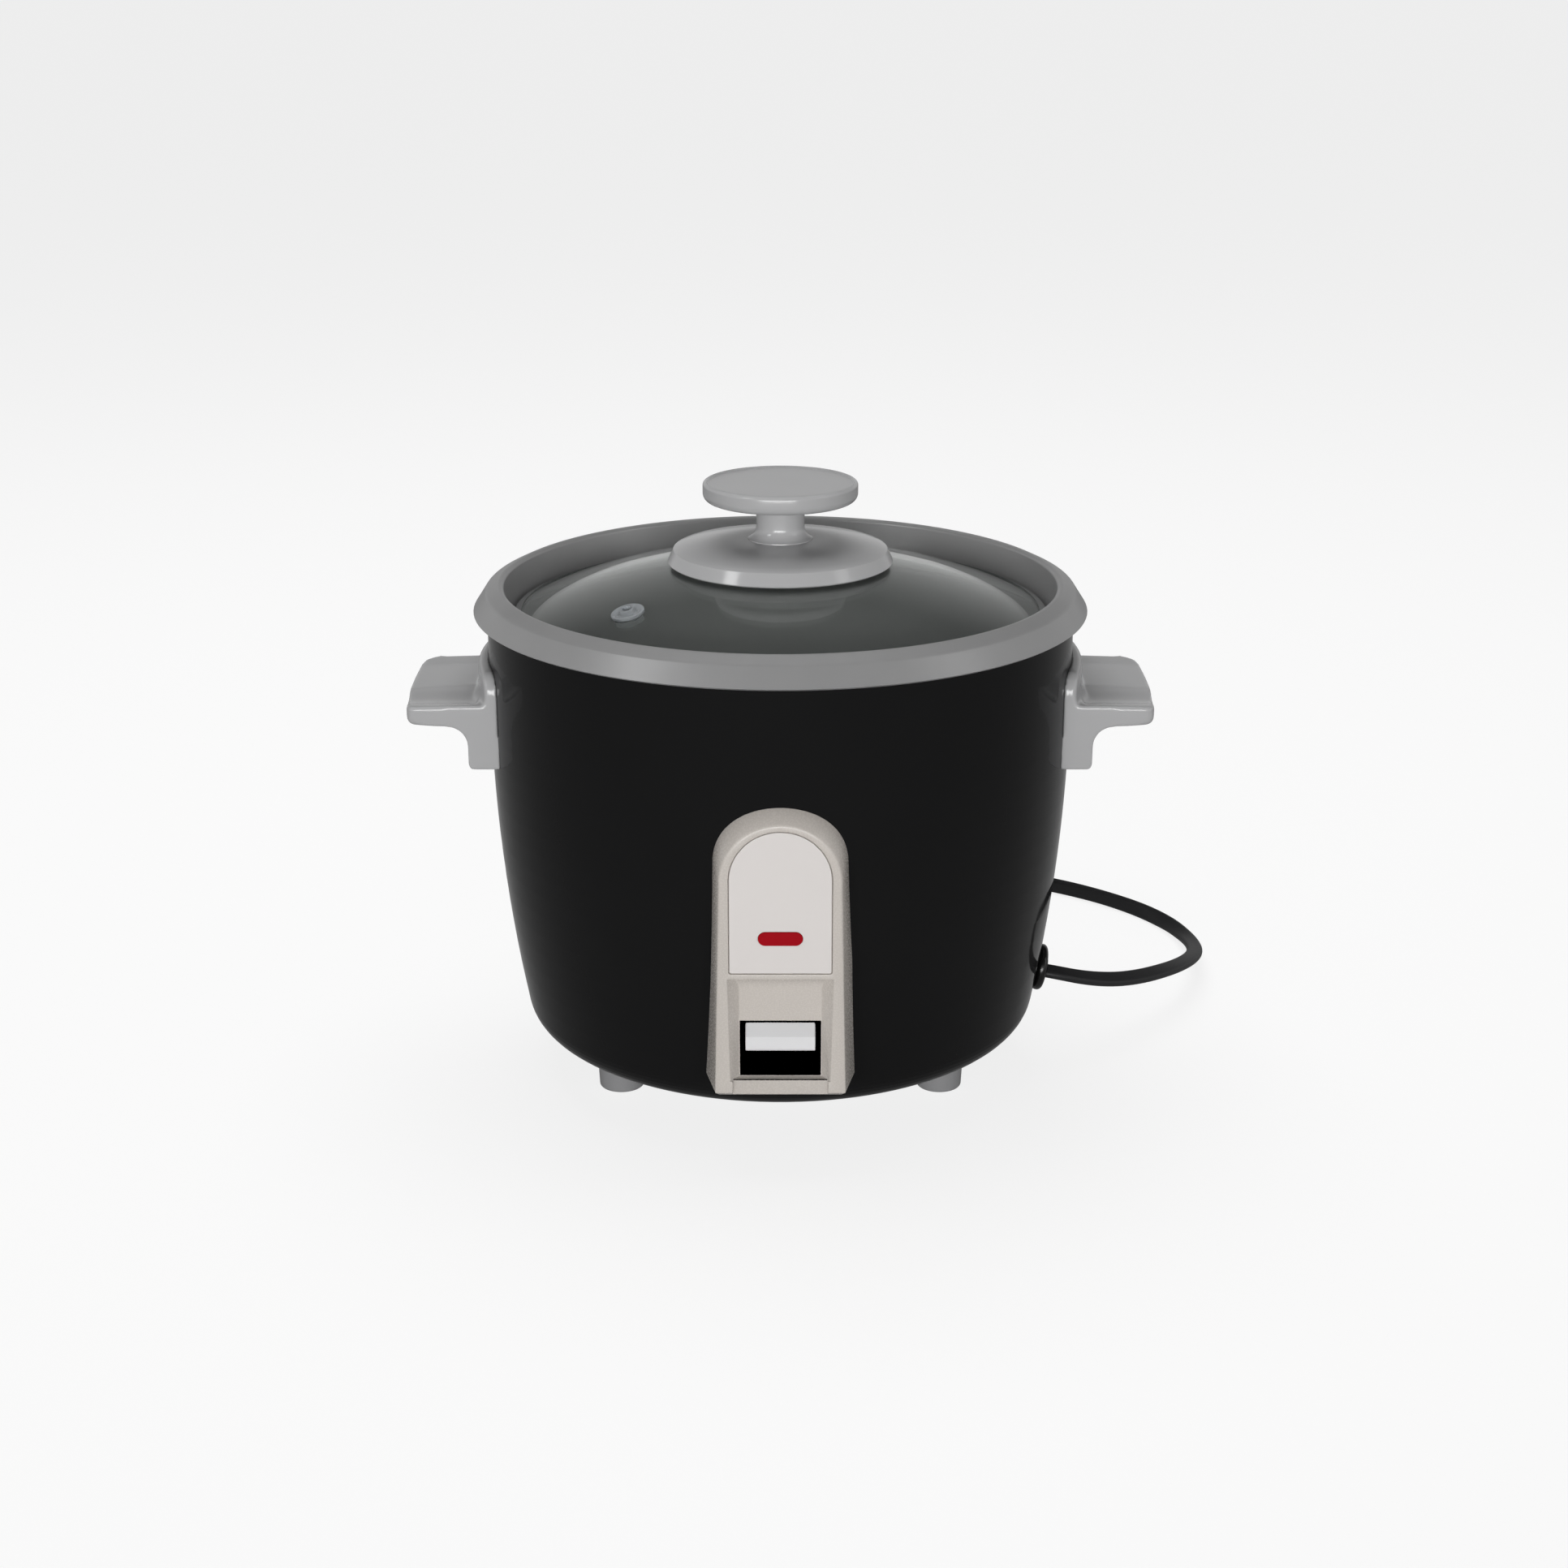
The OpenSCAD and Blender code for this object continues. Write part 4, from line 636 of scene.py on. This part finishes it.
# ---- Front panel ----
# One drafted moulding in warm grey plastic, with a seat for the label, a cove that runs down to the
# key's opening, and a rail each side of it. It is screwed to the shell from behind.
def arched(name, half, top, bottom, front, back, flare=0, cut=0):
    """A block with an arched top; its sides spread towards the bottom, whose corners are cut"""
    spring = top - half
    piece = solid("cylinder", name, (-half, front, top - 2 * half), (half, back, top), vertices=96,
                  rotation=(math.pi / 2, 0, 0))
    split(piece, (0, 0, spring), (0, 0, 1), keep_one_side=True)
    pull(piece, lambda x, y, z: z < spring + 0.01, (0, 0, bottom - spring))
    wide = (half + flare) / half
    shift(piece, lambda x, y, z: z < bottom + 0.01, size=(wide, 1, 1))
    if cut:
        round_off(piece, cut, 1, lambda x, y, z: z < bottom + 0.01, along=1)
    return piece


face_front, face_top, face_bottom, face_half, face_flare = -130, 151.1, 36.4, 24.2, 1.8
foot_half, foot_corner, panel_deep, foot_rise, foot_drop = 31.2, 5.5, 26, 19, 5


def panel_form(name, wall):
    """The panel's whole form, which widens towards the shell, shrunk by a wall"""
    half, top, bottom, front = face_half - wall, face_top - wall, face_bottom + wall, face_front + wall
    piece = arched(name, half, top, bottom, front, face_front + panel_deep, face_flare, 1.5)
    wide = (foot_half - wall) / half
    arch = top - half
    shift(piece, lambda x, y, z: y > front + 1 and z > arch - 0.1, (0, 0, foot_rise), (wide, 1, wide),
          (0, 0, arch + foot_rise))
    side = half + face_flare
    for way in (-1, 1):
        shift(piece, lambda x, y, z: y > front + 1 and z < arch - 0.1 and x * way > side - 1.4,
              (way * (foot_half - wall - side), 0, -1))
        shift(piece, lambda x, y, z: y > front + 1 and z < bottom + 0.1 and 0 < x * way < side - 1.4,
              (way * (foot_half - wall - foot_corner - side + 1.5), 0, -foot_drop))
    return piece


def lamp_form(grow, front, back):
    """The lamp window's rounded slot"""
    low, high = node_box("lamp_lens")
    piece = solid("cube", "slot", (low.x - grow, front, low.z - grow), (high.x + grow, back, high.z + grow))
    round_off(piece, (high.z - low.z) / 2 + grow - 0.01, 12, lambda x, y, z: True, along=1)
    return piece


bezel = panel_form("bezel", 0)
round_off(bezel, 3.4, 1, lambda x, y, z: y < face_front + 0.1 and z < face_bottom + 0.1)
round_off(bezel, 0.8, 3, lambda x, y, z: y < face_front + 0.1)
combine(bezel, "DIFFERENCE", panel_form("hollow", 2))
in_front = face_front - 1
cove_half, cove_top, cove_back, opening_half, sill_z = 16.5, 87, face_front + 6, 16.4, 42.7
walls = solid("cube", "walls", (-22.5, face_front + 1.5, face_bottom + 1),
              (22.5, cove_back + 2, cove_top + 1))
combine(bezel, "UNION", walls)
cove = solid("cube", "cove", (-cove_half, face_front - 0.5, sill_z), (cove_half, cove_back, cove_top))
shift(cove, lambda x, y, z: y < face_front and z > 80, size=(21.5 / cove_half, 1, 1))
shift(cove, lambda x, y, z: y < face_front and z < 80, size=(20.4 / cove_half, 1, 1))
round_off(cove, 6.8, 10, lambda x, y, z: y > cove_back - 0.1 and z > cove_top - 0.1, along=0)
opening = solid("cube", "opening", (-opening_half, cove_back - 2, sill_z),
                (opening_half, cove_back + 24, 66.6))
sill = solid("cube", "sill", (-19.1, in_front, 30), (19.1, face_front + 2.4, sill_z + 0.5))
label_low, label_high = node_box("label_plate")
seat = arched("seat", label_high.x + 0.35, label_high.z + 0.35, label_low.z - 0.3, in_front,
              face_front + 1.4, cut=0.6)
combine(bezel, "DIFFERENCE", cove, opening, sill, seat, lamp_form(0.15, in_front, face_front + 10),
        body_form(0.15))
modify(bezel, "BEVEL", width=0.25 * mm, segments=2, limit_method="ANGLE", angle_limit=math.radians(30),
       use_clamp_overlap=False)
bezel.data.shade_smooth()
stands_for(bezel, "base", "panel_stone", "panel_bezel")
dress(finish("warm grey panel plastic", (0.57, 0.53, 0.49), (0.24, 0.3), spread=0.02), bezel)

# ---- Label plate and lamp ----
# A thin off-white plastic plate glued into the panel's seat. It is cut out round a red moulded
# window, which has a small neon lamp behind it.
label = arched("label", label_high.x, label_high.z, label_low.z, label_low.y, label_high.y, cut=0.6)
combine(label, "DIFFERENCE", lamp_form(0.1, in_front, face_front + 3))
round_off(label, 0.22, 2, lambda x, y, z: y < label_low.y + 0.01)
stands_for(label, "base", "label_white", "label_plate")
dress(finish("off-white label plastic", (0.72, 0.685, 0.665), (0.28, 0.34), spread=0.015), label)
dress(finish("red lens plastic", (0.34, 0.003, 0.009), (0.2, 0.26), spread=0.05, Specular_IOR_Level=0.12),
      "lamp_lens")
dress(finish("neon lamp glass", (0.85, 0.70, 0.55), (0.05, 0.1), Transmission_Weight=0.7), "indicator_lamp")

# ---- Key ----
# The cook switch's key, white plastic with a crease across its front, pressed onto the lever's end.
# It moves in a black housing. Its upper face, above the crease, is painted a little greyer as painted shade
# from the opening's top edge.
key_half, key_front, key_back, key_low, key_high, crease = 13.95, -126, -117.5, 53.8, 66.2, 60.5
key = solid("cube", "key", (-key_half, key_front, key_low), (key_half, key_back, key_high))
split(key, (0, 0, crease), (0, 0, 1))
shift(key, lambda x, y, z: y < key_front + 1 and z > key_high - 0.2, (0, 2.1, 0))
shift(key, lambda x, y, z: y < key_front + 1 and z < key_low + 0.2, (0, 0.5, 0))
round_off(key, 1.8, 6, lambda x, y, z: y < key_front + 1 and z < key_low + 0.2, along=0)
round_off(key, 0.5, 3, lambda x, y, z: abs(x) > key_half - 0.05 and y < -120)
stands_for(key, "cook_lever", "key_white", "switch_key")
white = finish("white key plastic", (0.78, 0.78, 0.79), (0.2, 0.26), spread=0.02)
tree = white.node_tree
spot = tree.nodes.new("ShaderNodeTexCoord")
height = tree.nodes.new("ShaderNodeSeparateXYZ")
tree.links.new(spot.outputs["Object"], height.inputs[0])
# Painted shade: the key's colour above the crease is multiplied darker, standing in for the shade under the
# opening's top edge.
painted_shade = tree.nodes.new("ShaderNodeMix")
painted_shade.data_type = "RGBA"
painted_shade.blend_type = "MULTIPLY"
painted_shade.inputs["B"].default_value = (0.74, 0.74, 0.74, 1)
shaded_upper_face = ramp(tree, height.outputs["Z"], (crease - 0.1) * mm, (crease + 0.2) * mm, 0, 1)
tree.links.new(shaded_upper_face, painted_shade.inputs["Factor"])
colour = tree.nodes["Principled BSDF"].inputs["Base Color"]
tree.links.new(colour.links[0].from_socket, painted_shade.inputs["A"])
tree.links.new(painted_shade.outputs["Result"], colour)
dress(white, key)
dress(finish("black housing plastic", (0.008, 0.008, 0.008), (0.45, 0.55)), "key_housing")
